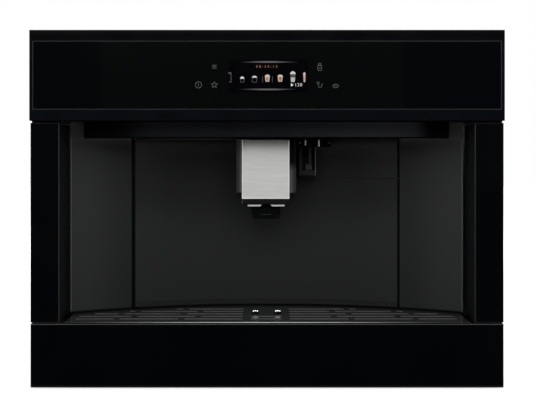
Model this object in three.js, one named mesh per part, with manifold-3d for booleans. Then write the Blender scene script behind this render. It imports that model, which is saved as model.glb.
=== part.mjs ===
// Built-in coffee machine for a 600 mm wide, 450 mm high cabinet niche.
// Millimetres, +Z up, the front looks along -Y, +X is right when seen from the front.
// Origin: middle of the footprint, at the level of the cabinet shelf.
import * as THREE from 'three';
import { mergeVertices } from 'three/addons/utils/BufferGeometryUtils.js';
import Module from 'manifold-3d';

const wasm = await Module();
wasm.setup();

// ---------------------------------------------------------------- driving dimensions
const FRONT_WIDTH = 595; // outer width of the front
const FRONT_HEIGHT = 449; // outer height of the front
const TOTAL_DEPTH = 475; // fascia to the rear panel
const FRONT_LIFT = 1; // front above the shelf
const SEAT = 0.3; // gap between pieces that sit on each other
const GLASS_T = 4; // thickness of the black glass panels

const FASCIA_HEIGHT = 113.4; // control fascia
const FASCIA_PROUD = 6.5; // fascia in front of the pillars
const FASCIA_BACK = 15.7; // back of the fascia and of the pillar carriers
const FASCIA_RIM_TOP = 13.7; // frame strip above the glass
const FASCIA_RIM_BOTTOM = 13.8; // frame strip below the glass
const FASCIA_RIM_SIDE = 4; // frame strip beside the glass
const FASCIA_GAP = 2.8; // shadow gap under the fascia
const DISPLAY_WIDTH = 100;
const DISPLAY_HEIGHT = 42;
const DISPLAY_X = 1.2; // centre of the display
const DISPLAY_Z = 392.5;
const DISPLAY_T = 6;
const BOARD_T = 1.6; // printed circuit boards
const TOUCH_BOARD_HALF = 150;
const TOUCH_BOARD_MARGIN = 6; // board inside the edges of the glass
const OVERCUT = 1; // cutting solids reach this far beyond what they cut

const PILLAR_WIDTH = 35.5; // glass strip at each side of the niche
const RETURN_RISE = 1.8; // returns start above the lower end of the glass
const CARRIER_INSET = 1; // carriers inside the edges of the glass
const PANEL_HEIGHT = 80; // glass front of the drip tray
const PANEL_GAP = 1.8; // shadow gap above the drip tray front

const WALL_RADIUS = 515; // curved rear wall of the niche, in plan
const WALL_DEPTH = 139; // wall behind the pillar face, at the middle
const WALL_T = 2.5; // moulded walls
const SEAM = 3.4; // gap at each side of the service door
const DOOR_HALF = 180.5; // half width of the service door
const DOOR_EDGE_GAP = 1.6; // above the door
const SILL_HEIGHT = 7; // fixed strip under the door
const SILL_GAP = 0.5; // between the sill and the door
const HINGE_INSET = 4; // hinge axis from the left edge of the door
const HINGE_BEHIND = 7.7; // hinge axis behind the door face, along the radius
const HINGE_PIN_R = 3;
const HINGE_POST_R = 4.9;
const HINGE_CLEAR = 0.3; // round the hinge pins
const PIN_TOP_GAP = 4; // hinge pin ends below the top of the frame
const HINGE_FRAME_DEPTH = 30; // fixed block above the door that holds the upper pin
const HINGE_FRAME_OVERHANG = 1;
const LINER_DEPTH = 22; // inner shell of the door
const LINER_T = 3;
const LINER_SIDE_T = 4;
const LINER_RIM = 10; // solid rim round the hollow of the inner shell
const LINER_GAP = 2; // inner shell inside the upper and lower edges of the door
const LINER_INSET = 9; // inner shell inside the right edge of the door
const LINER_NOTCH = 7; // inner shell inside the notch for the fixed panel
const INLET_HOLE_R = 6; // coffee inlet through the door
const INLET_BORE_R = 3.5;
const INLET_DROP = 40; // inlet below the ledge
const INLET_OUT = 6; // inlet tube behind the inner shell
const NOTCH_X = 41; // the door ends here beside the steam connector
const NOTCH_GAP = 2.4; // between that edge and the fixed panel
const NOTCH_Z = 262; // lower edge of the fixed panel
const NOTCH_SEAM = 0.8; // horizontal seam under the fixed panel

const LEDGE_HEIGHT = 19.7; // lamp housing above the niche
const LEDGE_HALF = 236;
const LEDGE_FRONT = 25; // its front edge behind the pillar face, at the middle
const LEDGE_BOW = 20; // how far its ends lie further back
const LAMP_HALF = 60; // light strip under the ledge, in front of the spout
const LAMP_WIDTH = 7;
const LAMP_DEPTH = 41;
const DECK_T = 2; // sheet above the ledge
const DECK_BACK_GAP = 8; // it ends in front of what stands behind the door

const GRILLE_T = 3;
const GRILLE_RISE = 1.5; // grille above the top of the front panel
const BAY_FLOOR_RISE = 1.5; // bay floor above the grille
const BAY_FLOOR_SETBACK = 1.3; // bay floor behind the face of the wall
const GRILLE_HALF = 256.5;
const GRILLE_FRONT = GLASS_T + SEAT; // the grille starts behind the glass of its front
const GRILLE_BACK_GAP = 1.8; // grille to the rear wall
const SLOT_W = 3; // drain slots
const SLOT_PITCH = 19.8; // slot rows, in depth
const SLOT_ROWS = 5;
const SLOT_FIRST = 28; // depth of the first row
const SLOT_LENGTH = 74;
const SLOT_BREAK = 9; // solid bridge between slots
const SLOT_INNER = 31; // slots start beside the middle field
const SLOT_EDGE = 12; // solid rim beyond the outermost slots
const CENTRE_ROWS = 2; // rows with a slot in the middle field too
const CENTRE_SLOT_HALF = 19.5;
const TRAY_CARRIER_T = 5.4; // moulded plate behind the glass front of the tray
const TRAY_CARRIER_INSET = 5;
const BASIN_HALF = 238;
const BASIN_T = 2.5;
const STUD_R = 6.2; // domed studs on the grille
const STUD_HEIGHT = 7;
const STUD_SKIRT = 0.3; // straight share of the stud's height
const STUD_STEPS = 6; // facets of the dome's profile
const STUD_X = 15.5;
const STUD_DEPTH = 71;
const MIDDLE_X = -1.2; // spout and studs sit this far from the middle

const SPOUT_FRONT = 55; // steel cover behind the pillar face
const COVER_WIDTH = 63.6;
const COVER_HEIGHT = 77.5;
const COVER_T = 1.2;
const COVER_WRAP = 20; // side flanges of the cover
const COVER_TOP_GAP = 3.2; // cover top under the ledge
const GUIDE_HALF = 40; // half width of the spout guide on the door
const GUIDE_FRONT = 64;
const GUIDE_HEIGHT = 72;
const GUIDE_CLEAR = 0.5; // spout body in the guide
const GUIDE_WEB = 16; // guide behind its channel, at the middle
const BODY_TOP_GAP = 1; // body below the top of the cover
const LIP_DROP = 6.6; // body below the cover
const STRIP_HEIGHT = 3.1; // bright strips under the body
const STRIP_INNER_SLANT = 0.6; // lean of the strips' ends, as a share of their height
const STRIP_OUTER_SLANT = 0.24;
const STRIP_BRIDGE_T = 2; // bridge that joins the strips at their back
const STRIP_BRIDGE_RISE = 1;
const STRIP_LENGTH = 18.4;
const STRIP_DEPTH = 10;
const STRIP_SPACING = 12.2; // between the inner ends of the strips
const NOZZLE_HALF = 18.5;
const NOZZLE_HEIGHT = 15.3; // below the bright strips
const NOZZLE_DROP = 1; // it starts below the strips
const NOZZLE_DEPTH = 34;
const OUTLET_R = 3.4;
const OUTLET_X = 9.5;
const OUTLET_ROOF = 4;

const CONNECTOR_LEFT = 45; // steam and hot water connector
const CONNECTOR_RIGHT = 87;
const CONNECTOR_FRONT = 97;
const CONNECTOR_TOP_H = 11.5; // block under the ledge
const POCKET_RIGHT = 69; // housing that hangs below the block
const POCKET_BOTTOM = 264;
const POCKET_WALL = 3;
const POCKET_DEPTH = 26;
const PIN_R = 1.5;
const PIN_LENGTH = 8;
const PIN_TOP = 1; // pins end below the top of the block
const PIN_XS = [51.8, 70.2];
const LEVER_X = 58.5;
const LEVER_HALF = 2.1;
const LEVER_T = 3;
const LEVER_LENGTH = 24;
const LEVER_SETBACK = 5;
const STEAM_NOZZLE_X = 56.5;
const STEAM_NOZZLE_RISE = 11; // above the bottom of the housing
const STEAM_NOZZLE_R = 4.6;
const STEAM_NOZZLE_SETBACK = 12;
const STEAM_TIP_R = 3.2;
const STEAM_TIP_SETBACK = 4;

const CHASSIS_HALF = 277.5;
const CHASSIS_TOP = 441;
const SHEET_T = 1.5;
const BASE_Z = 5; // underside of the chassis floor
const BASE_HALF = 244.5; // chassis floor between the runners
const BASE_SHELF_Z = 52; // top of the chassis flanges above the runners
const CHASSIS_FRONT = 16;
const BAY_FLOOR_T = 3;
const VENT_W = 4.6;
const VENT_L = 62;
const VENT_PITCH = 11;
const SIDE_VENTS = 9;
const SIDE_VENT_MARGIN = 40; // from the upper and the rear edge of the side panels
const REAR_VENTS = 11; // in each of the two rows of slots
const REAR_VENT_DROP = 50;
const REAR_VENT_STARTS = [-180, 60];

const RUNNER_LENGTH = 420;
const RUNNER_START = 30; // behind the pillar face
const RUNNER_HEIGHT = 47;
const RUNNER_GAP = 2.5; // cabinet member beside the chassis floor
const RUNNER_WIDTH = 10.5; // cabinet member across its section
const RUNNER_FOOT_WIDTH = 22.5; // foot outside the cabinet member
const RUNNER_FOOT_T = 2;
const RUNNER_PLAY = 0.4;
const RUNNER_GAUGE = 2;
const STRAP_WIDTH = 30; // cross straps between the cabinet members
const STRAP_INSET = 10;

const TANK_WIDTH = 112;
const TANK_DEPTH = 205;
const TANK_HEIGHT = 214;
const TANK_X = -112;
const TANK_T = 2.5;
const TANK_LID_T = 3;
const TANK_GRIP_HALF = 30; // grip across the lid of the tank
const TANK_GRIP_START = 12;
const TANK_GRIP_T = 10;
const TANK_GRIP_HEIGHT = 9;
const GROUNDS_WIDTH = 106;
const GROUNDS_DEPTH = 120;
const GROUNDS_HEIGHT = 100;
const GROUNDS_X = 116;
const GROUNDS_GRIP_HALF = 28; // finger lip at the front of the grounds container
const GROUNDS_GRIP_OUT = 9;
const GROUNDS_GRIP_DROP = 10;
const GROUNDS_GRIP_T = 6;
const BAY_START = 186; // front of what stands behind the door
const BREW_WIDTH = 86;
const BREW_DEPTH = 110;
const BREW_HEIGHT = 171;
const BREW_X = 5;
const BREW_PLATE = 20;
const CARRIAGE_HEIGHT = 60;
const CARRIAGE_INSET = 6; // carriage inside the sides of the frame
const CARRIAGE_SETBACK = 4;
const CHAMBER_R = 24;
const CHAMBER_FLOOR = 8;
const PISTON_R = 23;
const PISTON_HEIGHT = 30;
const PISTON_HEAD = 12;
const PISTON_NECK_R = 12;
const PISTON_SHOULDER = 2; // height of the cone between head and neck
const GRINDER_R = 46;
const GRINDER_HEIGHT = 78;
const GRINDER_WALL = 6;
const GRINDER_FLOOR = 8;
const BURR_HEIGHT = 40;
const BURR_CLEAR = 2; // round the burr
const BURR_RIM = 8;
const BURR_TIP_R = 8;
const HOPPER_R = 66;
const HOPPER_THROAT_R = 32;
const HOPPER_T = 2.5;
const HOPPER_FLANGE = 6;
const HOPPER_THROAT_HEIGHT = 6; // straight part above the grinder
const HOPPER_SHOULDER = 36; // height at which the cone of the container ends
const HOPPER_FLOOR_RISE = 2; // inner cone above the outer one, at the throat
const HOPPER_CONE_RISE = 1; // and at the shoulder
const FLANGE_T = 1.6;
const LID_T = 4;
const LID_MARGIN = 7; // lid beyond the opening that it covers
const LID_CORNER_R = 6;
const LID_PIN_R = 1.2;
const LID_PIN_CLEAR = 0.2;
const LID_BARREL_R = 2.3;
const LID_BARREL_SHARE = 0.7; // barrel's share of the width that the lid covers
const LID_WEB_T = 2; // web between lid and barrel
const LID_LUG_W = 5;
const LID_LUG_GAP = 1.2; // lugs behind the rear edge of the lid
const LID_LUG_BACK = 2; // lugs beyond the barrel
const LID_LUG_RISE = 1.6; // lugs above the axis, under the sweep of the lid
const LID_GRIP_SHARE = 0.3; // grip rib's half width, as a share
const LID_GRIP_INSET = 3;
const LID_GRIP_DEPTH = 6;
const LID_GRIP_RISE = 1;
const CHUTE_HALF = 20;
const CHUTE_T = 2;
const CHUTE_FLANGE = 5;
const CHUTE_X = 130;
const CHUTE_LENGTH = 60;
const KNOB_X = -110;
const KNOB_R = 18;
const KNOB_HEIGHT = 7;
const KNOB_CHAMFER = 1.5;
const KNOB_SHAFT_R = 4;
const KNOB_SHAFT_LENGTH = 16;
const KNOB_MARK_HALF = 1.5; // raised mark on the knob
const KNOB_MARK_INSET = 2;
const KNOB_MARK_INNER = 4;
const KNOB_MARK_RISE = 0.8;
const BOILER_X = 222;
const BOILER_WIDTH = 56;
const BOILER_HEIGHT = 108;
const BOILER_SETBACK = 34; // behind the front of the bay
const FIN_COUNT = 8;
const FIN_DEPTH = 5;
const PIPE_R = 3;
const PIPE_RISE = 4; // pipe above the steam nozzle
const PIPE_LEAD = 12; // straight lead behind the wall
const PIPE_BEND_X = 30; // sideways over the first bend
const PIPE_BEND_Y = 34; // and rearwards
const PIPE_RUN_Y = 44; // depth of the level run behind the wall
const PIPE_RUN_GAP = 20; // level run ends beside the boiler's middle
const PIPE_FALL = 36; // first drop towards the boiler
const PIPE_DOCK_DROP = 12; // its port below the top of the boiler
const PIPE_DOCK_LEAD = 22;
const PIPE_DOCK_SHORT = 10;
const PUMP_X = 222;
const PUMP_R = 21;
const PUMP_LENGTH = 70;
const PUMP_BRACKET = 50;
const PUMP_GAP = 34; // behind the boiler
const PUMP_INLET_GAP = 11; // between the pump's rear stub and the mains inlet
const PUMP_FOOT = 6; // under the pump's barrel
const PUMP_BRACKET_INSET = 8;
const PUMP_STUB_R = 5;
const PUMP_STUB_FRONT = 16;
const PUMP_STUB_BACK = 14;
const CONTROL_GAP = 8; // control board to the side panel
const CONTROL_SETBACK = 20; // behind the middle of the hopper
const CONTROL_LENGTH = 150;
const CONTROL_BOTTOM = 240;
const CONTROL_TOP = 400;
const POST_R = 3; // posts that hold the board
const POST_MARGIN = 10;
const POST_SINK = 0.5; // posts into the board
const INLET_RIGHT = 220; // right edge of the mains inlet
const INLET_Z = 115;
const INLET_WIDTH = 30;
const INLET_HEIGHT = 24;
const INLET_DEPTH = 22;
const INLET_RIM = 3;
const INLET_FLOOR = 4;
const CONTACT_PITCH = 7; // the three contacts of the inlet
const CONTACT_HALF_X = 1;
const CONTACT_HALF_Z = 2;
const CONTACT_RISE = 4; // middle contact above the others
const CONTACT_SUNK = 3; // contacts end inside the rear face
const SWITCH_WIDTH = 16; // rocker beside the inlet, in the same module
const SWITCH_OFFSET = 1; // rocker towards the inlet
const SWITCH_WELL = 9;
const ROCKER_HALF = 4.5;
const ROCKER_REACH_GAP = 1;
const ROCKER_BACK = 3.5;
const ROCKER_RISE = 0.5; // rocker's high ends in front of its axis
const ROCKER_SUNK = 2.5;
const SWITCH_TILT = 8; // degrees

// ---------------------------------------------------------------- derived levels and planes
const pillarY = -TOTAL_DEPTH / 2 + FASCIA_PROUD; // face of the pillars
const bodyDepth = TOTAL_DEPTH - FASCIA_PROUD;
const behind = (depth) => pillarY + depth;
const frontHalf = FRONT_WIDTH / 2;
const panelTop = FRONT_LIFT + PANEL_HEIGHT;
const pillarBottom = panelTop + PANEL_GAP;
const fasciaTop = FRONT_LIFT + FRONT_HEIGHT;
const fasciaBottom = fasciaTop - FASCIA_HEIGHT;
const pillarTop = fasciaBottom - FASCIA_GAP;
const nicheHalf = frontHalf - PILLAR_WIDTH;
const grilleTop = panelTop + GRILLE_RISE;
const bayFloorTop = grilleTop + BAY_FLOOR_RISE;
const wallBottom = bayFloorTop + SEAT;
const wallTop = fasciaBottom - SEAT;
const ledgeBottom = wallTop - LEDGE_HEIGHT;
const doorTop = ledgeBottom - DOOR_EDGE_GAP;
const sillTop = wallBottom + SILL_HEIGHT;
const doorBottom = sillTop + SILL_GAP;
const arcY = behind(WALL_DEPTH - WALL_RADIUS); // centre of the wall's curve
const hingeX = -DOOR_HALF + HINGE_INSET;
const hingeR = WALL_RADIUS + HINGE_BEHIND;
const hingeY = arcY + Math.sqrt(hingeR ** 2 - hingeX ** 2);
const chassisBack = bodyDepth - SHEET_T;
const guideTop = doorTop - DOOR_EDGE_GAP / 2;
const guideBottom = guideTop - GUIDE_HEIGHT;
const coverTop = ledgeBottom - COVER_TOP_GAP;
const coverBottom = coverTop - COVER_HEIGHT;
const bodyBottom = coverBottom - LIP_DROP;
const stripBottom = bodyBottom - SEAT - STRIP_HEIGHT;
const switchX = INLET_RIGHT - INLET_WIDTH - SWITCH_WIDTH / 2 + SWITCH_OFFSET;

// ---------------------------------------------------------------- materials
const finish = (color, roughness, metalness) =>
  new THREE.MeshStandardMaterial({ color, roughness, metalness });
const blackGlass = finish(0x050506, 0.06, 0);
const glossBlack = finish(0x0c0c0d, 0.25, 0);
const blackPlastic = finish(0x17181a, 0.45, 0);
const wallPlastic = finish(0x25272a, 0.5, 0);
const brushedSteel = finish(0xb9b9b7, 0.3, 1);
const chrome = finish(0xdadadb, 0.1, 1);
const zincSheet = finish(0x9a9da0, 0.45, 1);
const clearPlastic = finish(0xa9bac2, 0.1, 0);
const lampLens = finish(0xf4efe2, 0.3, 0);
const greyPlastic = finish(0x3a3d40, 0.5, 0);
const boardGreen = finish(0x1d5a3a, 0.5, 0);
const castAlloy = finish(0x8b8d90, 0.4, 1);

// ---------------------------------------------------------------- solids
const model = new THREE.Group();

function piece(name, geometry, material) {
  const mesh = new THREE.Mesh(geometry, material);
  mesh.name = name;
  model.add(mesh);
}

function box(x0, x1, y0, y1, z0, z1) {
  const geometry = new THREE.BoxGeometry(x1 - x0, y1 - y0, z1 - z0);
  return geometry.translate((x0 + x1) / 2, (y0 + y1) / 2, (z0 + z1) / 2);
}

function outline(points) {
  return new THREE.Shape(points.map(([u, v]) => new THREE.Vector2(u, v)));
}

function rectangle(u0, u1, v0, v1) {
  return outline([[u0, v0], [u1, v0], [u1, v1], [u0, v1]]);
}

function roundedRectangle(u0, u1, v0, v1, r) {
  const shape = new THREE.Shape();
  shape.moveTo(u0 + r, v0);
  shape.absarc(u1 - r, v0 + r, r, -Math.PI / 2, 0);
  shape.absarc(u1 - r, v1 - r, r, 0, Math.PI / 2);
  shape.absarc(u0 + r, v1 - r, r, Math.PI / 2, Math.PI);
  shape.absarc(u0 + r, v0 + r, r, Math.PI, 1.5 * Math.PI);
  return shape;
}

function circle(u, v, r) {
  const path = new THREE.Path();
  path.absarc(u, v, r, 0, 2 * Math.PI, true);
  return path;
}

// A shape drawn in plan (x, y), extruded upwards.
function upright(shape, z0, z1, curveSegments = 12) {
  const options = { depth: z1 - z0, bevelEnabled: false, curveSegments };
  return new THREE.ExtrudeGeometry(shape, options).translate(0, 0, z0);
}

// A shape drawn from the front (x, z), extruded towards the rear.
function rearward(shape, y0, y1, curveSegments = 12) {
  const options = { depth: y1 - y0, bevelEnabled: false, curveSegments };
  return new THREE.ExtrudeGeometry(shape, options).rotateX(Math.PI / 2).translate(0, y1, 0);
}

// A shape drawn from the side (y, z), extruded towards +X.
function sideward(shape, x0, x1, curveSegments = 12) {
  const options = { depth: x1 - x0, bevelEnabled: false, curveSegments };
  const turn = new THREE.Matrix4().makeBasis(
    new THREE.Vector3(0, 1, 0),
    new THREE.Vector3(0, 0, 1),
    new THREE.Vector3(1, 0, 0),
  );
  return new THREE.ExtrudeGeometry(shape, options).applyMatrix4(turn).translate(x0, 0, 0);
}

function solid(geometry) {
  const bare = geometry.clone();
  bare.deleteAttribute('normal');
  bare.deleteAttribute('uv');
  const merged = mergeVertices(bare, 1e-4);
  const vertProperties = new Float32Array(merged.attributes.position.array);
  const triVerts = new Uint32Array(merged.index.array);
  return new wasm.Manifold(new wasm.Mesh({ numProp: 3, vertProperties, triVerts }));
}

function meshOf(manifold) {
  const { vertProperties, triVerts, numProp } = manifold.getMesh();
  const geometry = new THREE.BufferGeometry();
  const attribute = new THREE.BufferAttribute(new Float32Array(vertProperties), numProp);
  geometry.setAttribute('position', attribute);
  geometry.setIndex(new THREE.BufferAttribute(new Uint32Array(triVerts), 1));
  return geometry;
}

function join(first, ...others) {
  return meshOf(others.reduce((whole, next) => whole.add(solid(next)), solid(first)));
}

function cut(first, ...tools) {
  return meshOf(tools.reduce((whole, next) => whole.subtract(solid(next)), solid(first)));
}

// Upright turned part: profile points are [radius, z].
function turned(points, x, y, segments = 24) {
  const profile = points.map(([r, z]) => new THREE.Vector2(r, z));
  return new THREE.LatheGeometry(profile, segments).rotateX(Math.PI / 2).translate(x, y, 0);
}

// Round bar along the depth, from y0 to y1.
function bar(x, z, r, y0, y1, segments = 20) {
  return new THREE.CylinderGeometry(r, r, y1 - y0, segments).translate(x, (y0 + y1) / 2, z);
}

// Plan outline between two arcs that are concentric with the niche wall, from x0 to x1.
function arcBand(r0, r1, x0, x1) {
  const shape = new THREE.Shape();
  shape.absarc(0, arcY, r0, Math.acos(x0 / r0), Math.acos(x1 / r0), true);
  shape.absarc(0, arcY, r1, Math.acos(x1 / r1), Math.acos(x0 / r1), false);
  return shape;
}

// Depth plane of a wall-concentric arc at a given x.
const arcAt = (r, x) => arcY + Math.sqrt(r ** 2 - x ** 2);
const wallOuter = WALL_RADIUS + WALL_T;

// ---------------------------------------------------------------- control fascia
function makeFascia() {
  const glassLeft = -frontHalf + FASCIA_RIM_SIDE;
  const glassBottom = fasciaBottom + FASCIA_RIM_BOTTOM;
  const glassTop = fasciaTop - FASCIA_RIM_TOP;
  const face = behind(-FASCIA_PROUD);
  const frame = rectangle(-frontHalf, frontHalf, fasciaBottom, fasciaTop);
  frame.holes.push(rectangle(glassLeft, -glassLeft, glassBottom, glassTop));
  piece('fascia_frame', rearward(frame, face, behind(FASCIA_BACK)), glossBlack);
  const glass = rectangle(glassLeft + SEAT, -glassLeft - SEAT, glassBottom + SEAT, glassTop - SEAT);
  const glassBack = face + SEAT + GLASS_T;
  piece('fascia_glass', rearward(glass, face + SEAT, glassBack), blackGlass);

  const displayLeft = DISPLAY_X - DISPLAY_WIDTH / 2;
  const displayRight = DISPLAY_X + DISPLAY_WIDTH / 2;
  const displayBottom = DISPLAY_Z - DISPLAY_HEIGHT / 2;
  const displayTop = DISPLAY_Z + DISPLAY_HEIGHT / 2;
  const boardFront = glassBack + SEAT;
  const moduleBack = boardFront + DISPLAY_T;
  const module = box(displayLeft, displayRight, boardFront, moduleBack, displayBottom, displayTop);
  piece('display_module', module, greyPlastic);
  const board = rectangle(
    -TOUCH_BOARD_HALF, TOUCH_BOARD_HALF,
    glassBottom + TOUCH_BOARD_MARGIN, glassTop - TOUCH_BOARD_MARGIN,
  );
  board.holes.push(rectangle(
    displayLeft - SEAT,
    displayRight + SEAT,
    displayBottom - SEAT,
    displayTop + SEAT,
  ));
  piece('touch_board', rearward(board, boardFront, boardFront + BOARD_T), boardGreen);
}

// ---------------------------------------------------------------- pillars beside the niche
// A box at one side of the middle, between two distances from it.
function sideBox(side, inner, outer, y0, y1, z0, z1) {
  return box(Math.min(side * inner, side * outer), Math.max(side * inner, side * outer), y0, y1, z0, z1);
}

function makePillars() {
  const glassBack = behind(GLASS_T);
  const carrierFront = glassBack + SEAT;
  for (const [side, word] of [[-1, 'left'], [1, 'right']]) {
    const glass = sideBox(side, nicheHalf, frontHalf, pillarY, glassBack, pillarBottom, pillarTop);
    piece(`${word}_pillar_glass`, glass, blackGlass);
    const carrier = sideBox(
      side, nicheHalf + CARRIER_INSET, frontHalf - CARRIER_INSET,
      carrierFront, behind(FASCIA_BACK),
      panelTop + SEAT, fasciaBottom - SEAT,
    );
    const plate = sideBox(
      side, nicheHalf, nicheHalf + WALL_T,
      carrierFront, arcAt(WALL_RADIUS, nicheHalf) - SEAT,
      pillarBottom + RETURN_RISE, pillarTop - CARRIER_INSET,
    );
    piece(`${word}_pillar_carrier`, join(carrier, plate), wallPlastic);
  }
}

// ---------------------------------------------------------------- curved niche walls
function makeNicheWalls() {
  const inner = DOOR_HALF + SEAM;
  const outer = nicheHalf - SEAT;
  const left = arcBand(WALL_RADIUS, wallOuter, -outer, -inner);
  piece('left_niche_wall', upright(left, wallBottom, wallTop, 8), wallPlastic);
  const right = arcBand(WALL_RADIUS, wallOuter, inner, outer);
  piece('right_niche_wall', upright(right, wallBottom, wallTop, 8), wallPlastic);
  const sill = arcBand(WALL_RADIUS, wallOuter, -DOOR_HALF, DOOR_HALF);
  piece('door_sill', upright(sill, wallBottom, sillTop, 24), wallPlastic);
  const fixed = arcBand(WALL_RADIUS, wallOuter, NOTCH_X + NOTCH_GAP, DOOR_HALF);
  piece('connector_panel', upright(fixed, NOTCH_Z, ledgeBottom - SEAT, 12), wallPlastic);
}

// ---------------------------------------------------------------- ledge with lamps
function makeLedge() {
  const bowRadius = (LEDGE_HALF ** 2 + LEDGE_BOW ** 2) / (2 * LEDGE_BOW);
  const bowY = behind(LEDGE_FRONT) + bowRadius;
  const swing = Math.asin(LEDGE_HALF / bowRadius);
  const back = WALL_RADIUS - SEAT;
  const shape = new THREE.Shape();
  shape.absarc(0, bowY, bowRadius, -Math.PI / 2 - swing, -Math.PI / 2 + swing, false);
  shape.absarc(0, arcY, back, Math.acos(LEDGE_HALF / back), Math.acos(-LEDGE_HALF / back), false);
  const lampFront = behind(LAMP_DEPTH - LAMP_WIDTH / 2);
  const lampBack = behind(LAMP_DEPTH + LAMP_WIDTH / 2);
  shape.holes.push(rectangle(-LAMP_HALF, LAMP_HALF, lampFront, lampBack));
  piece('lamp_ledge', upright(shape, ledgeBottom, wallTop, 24), glossBlack);
  const lens = rectangle(-LAMP_HALF + SEAT, LAMP_HALF - SEAT, lampFront + SEAT, lampBack - SEAT);
  piece('niche_lamp', upright(lens, ledgeBottom + SEAT, wallTop - SEAT), lampLens);

  const frameHalf = DOOR_HALF + HINGE_FRAME_OVERHANG;
  const frame = arcBand(WALL_RADIUS + SEAT, WALL_RADIUS + HINGE_FRAME_DEPTH, -frameHalf, frameHalf);
  frame.holes.push(circle(hingeX, hingeY, HINGE_PIN_R + HINGE_CLEAR));
  const deckHalf = CHASSIS_HALF - SHEET_T - SEAT;
  const deck = rectangle(-deckHalf, deckHalf, behind(CHASSIS_FRONT), behind(BAY_START - DECK_BACK_GAP));
  piece('upper_deck', join(
    upright(deck, fasciaBottom, fasciaBottom + DECK_T),
    upright(frame, ledgeBottom, fasciaBottom + DECK_T / 2, 24),
  ), zincSheet);
}

// ---------------------------------------------------------------- service door
function makeDoor() {
  const notchTop = doorTop + OVERCUT;
  const notchRight = DOOR_HALF + OVERCUT;
  const notchBack = behind(WALL_DEPTH + 2 * LINER_DEPTH);
  const notchZ = NOTCH_Z - NOTCH_SEAM;
  const skinBand = arcBand(WALL_RADIUS, wallOuter, -DOOR_HALF, DOOR_HALF);
  const notch = box(NOTCH_X, notchRight, pillarY, notchBack, notchZ, notchTop);
  const inletZ = ledgeBottom - INLET_DROP;
  const inletHole = bar(
    MIDDLE_X, inletZ, INLET_HOLE_R,
    behind(WALL_DEPTH - OVERCUT), behind(WALL_DEPTH + WALL_T + OVERCUT),
  );
  const skin = cut(upright(skinBand, doorBottom, doorTop, 32), notch, inletHole);
  piece('door_skin', skin, wallPlastic);

  const linerFront = wallOuter + SEAT;
  const linerBack = linerFront + LINER_DEPTH;
  const linerLeft = hingeX + HINGE_POST_R + SEAT;
  const linerRight = DOOR_HALF - LINER_INSET;
  const linerBand = arcBand(linerFront, linerBack, linerLeft, linerRight);
  const liner = upright(linerBand, doorBottom + LINER_GAP, doorTop - LINER_GAP, 24);
  const hollowFront = linerFront + LINER_T;
  const hollowBack = linerBack + OVERCUT;
  const hollowLeft = linerLeft + LINER_SIDE_T;
  const hollow = upright(
    arcBand(hollowFront, hollowBack, hollowLeft, linerRight - LINER_SIDE_T),
    doorBottom + LINER_RIM, notchZ - LINER_RIM, 24,
  );
  const upperHollow = upright(
    arcBand(hollowFront, hollowBack, hollowLeft, NOTCH_X - 2 * LINER_NOTCH),
    notchZ - LINER_RIM + LINER_SIDE_T, doorTop - LINER_RIM, 24,
  );
  const linerNotch = box(
    NOTCH_X - LINER_NOTCH, notchRight,
    pillarY, notchBack,
    notchZ - LINER_SIDE_T, notchTop,
  );
  const shell = cut(liner, hollow, upperHollow, linerNotch);
  const tubeFront = arcAt(WALL_RADIUS, MIDDLE_X) + SEAT;
  const tubeBack = behind(WALL_DEPTH) + LINER_DEPTH + INLET_OUT;
  const tube = bar(MIDDLE_X, inletZ, INLET_HOLE_R - SEAT, tubeFront, tubeBack);
  const bore = bar(MIDDLE_X, inletZ, INLET_BORE_R, tubeFront - OVERCUT, tubeBack + OVERCUT);
  piece('door_inner_shell', cut(join(shell, tube), bore), greyPlastic);

  const floorUnder = bayFloorTop - BAY_FLOOR_T;
  const post = turned([
    [0, floorUnder + SEAT],
    [HINGE_PIN_R, floorUnder + SEAT],
    [HINGE_PIN_R, doorBottom + SEAT],
    [HINGE_POST_R, doorBottom + SEAT],
    [HINGE_POST_R, doorTop - SEAT],
    [HINGE_PIN_R, doorTop - SEAT],
    [HINGE_PIN_R, wallTop - PIN_TOP_GAP],
    [0, wallTop - PIN_TOP_GAP],
  ], hingeX, hingeY);
  piece('door_hinge_post', post, castAlloy);
}

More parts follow.
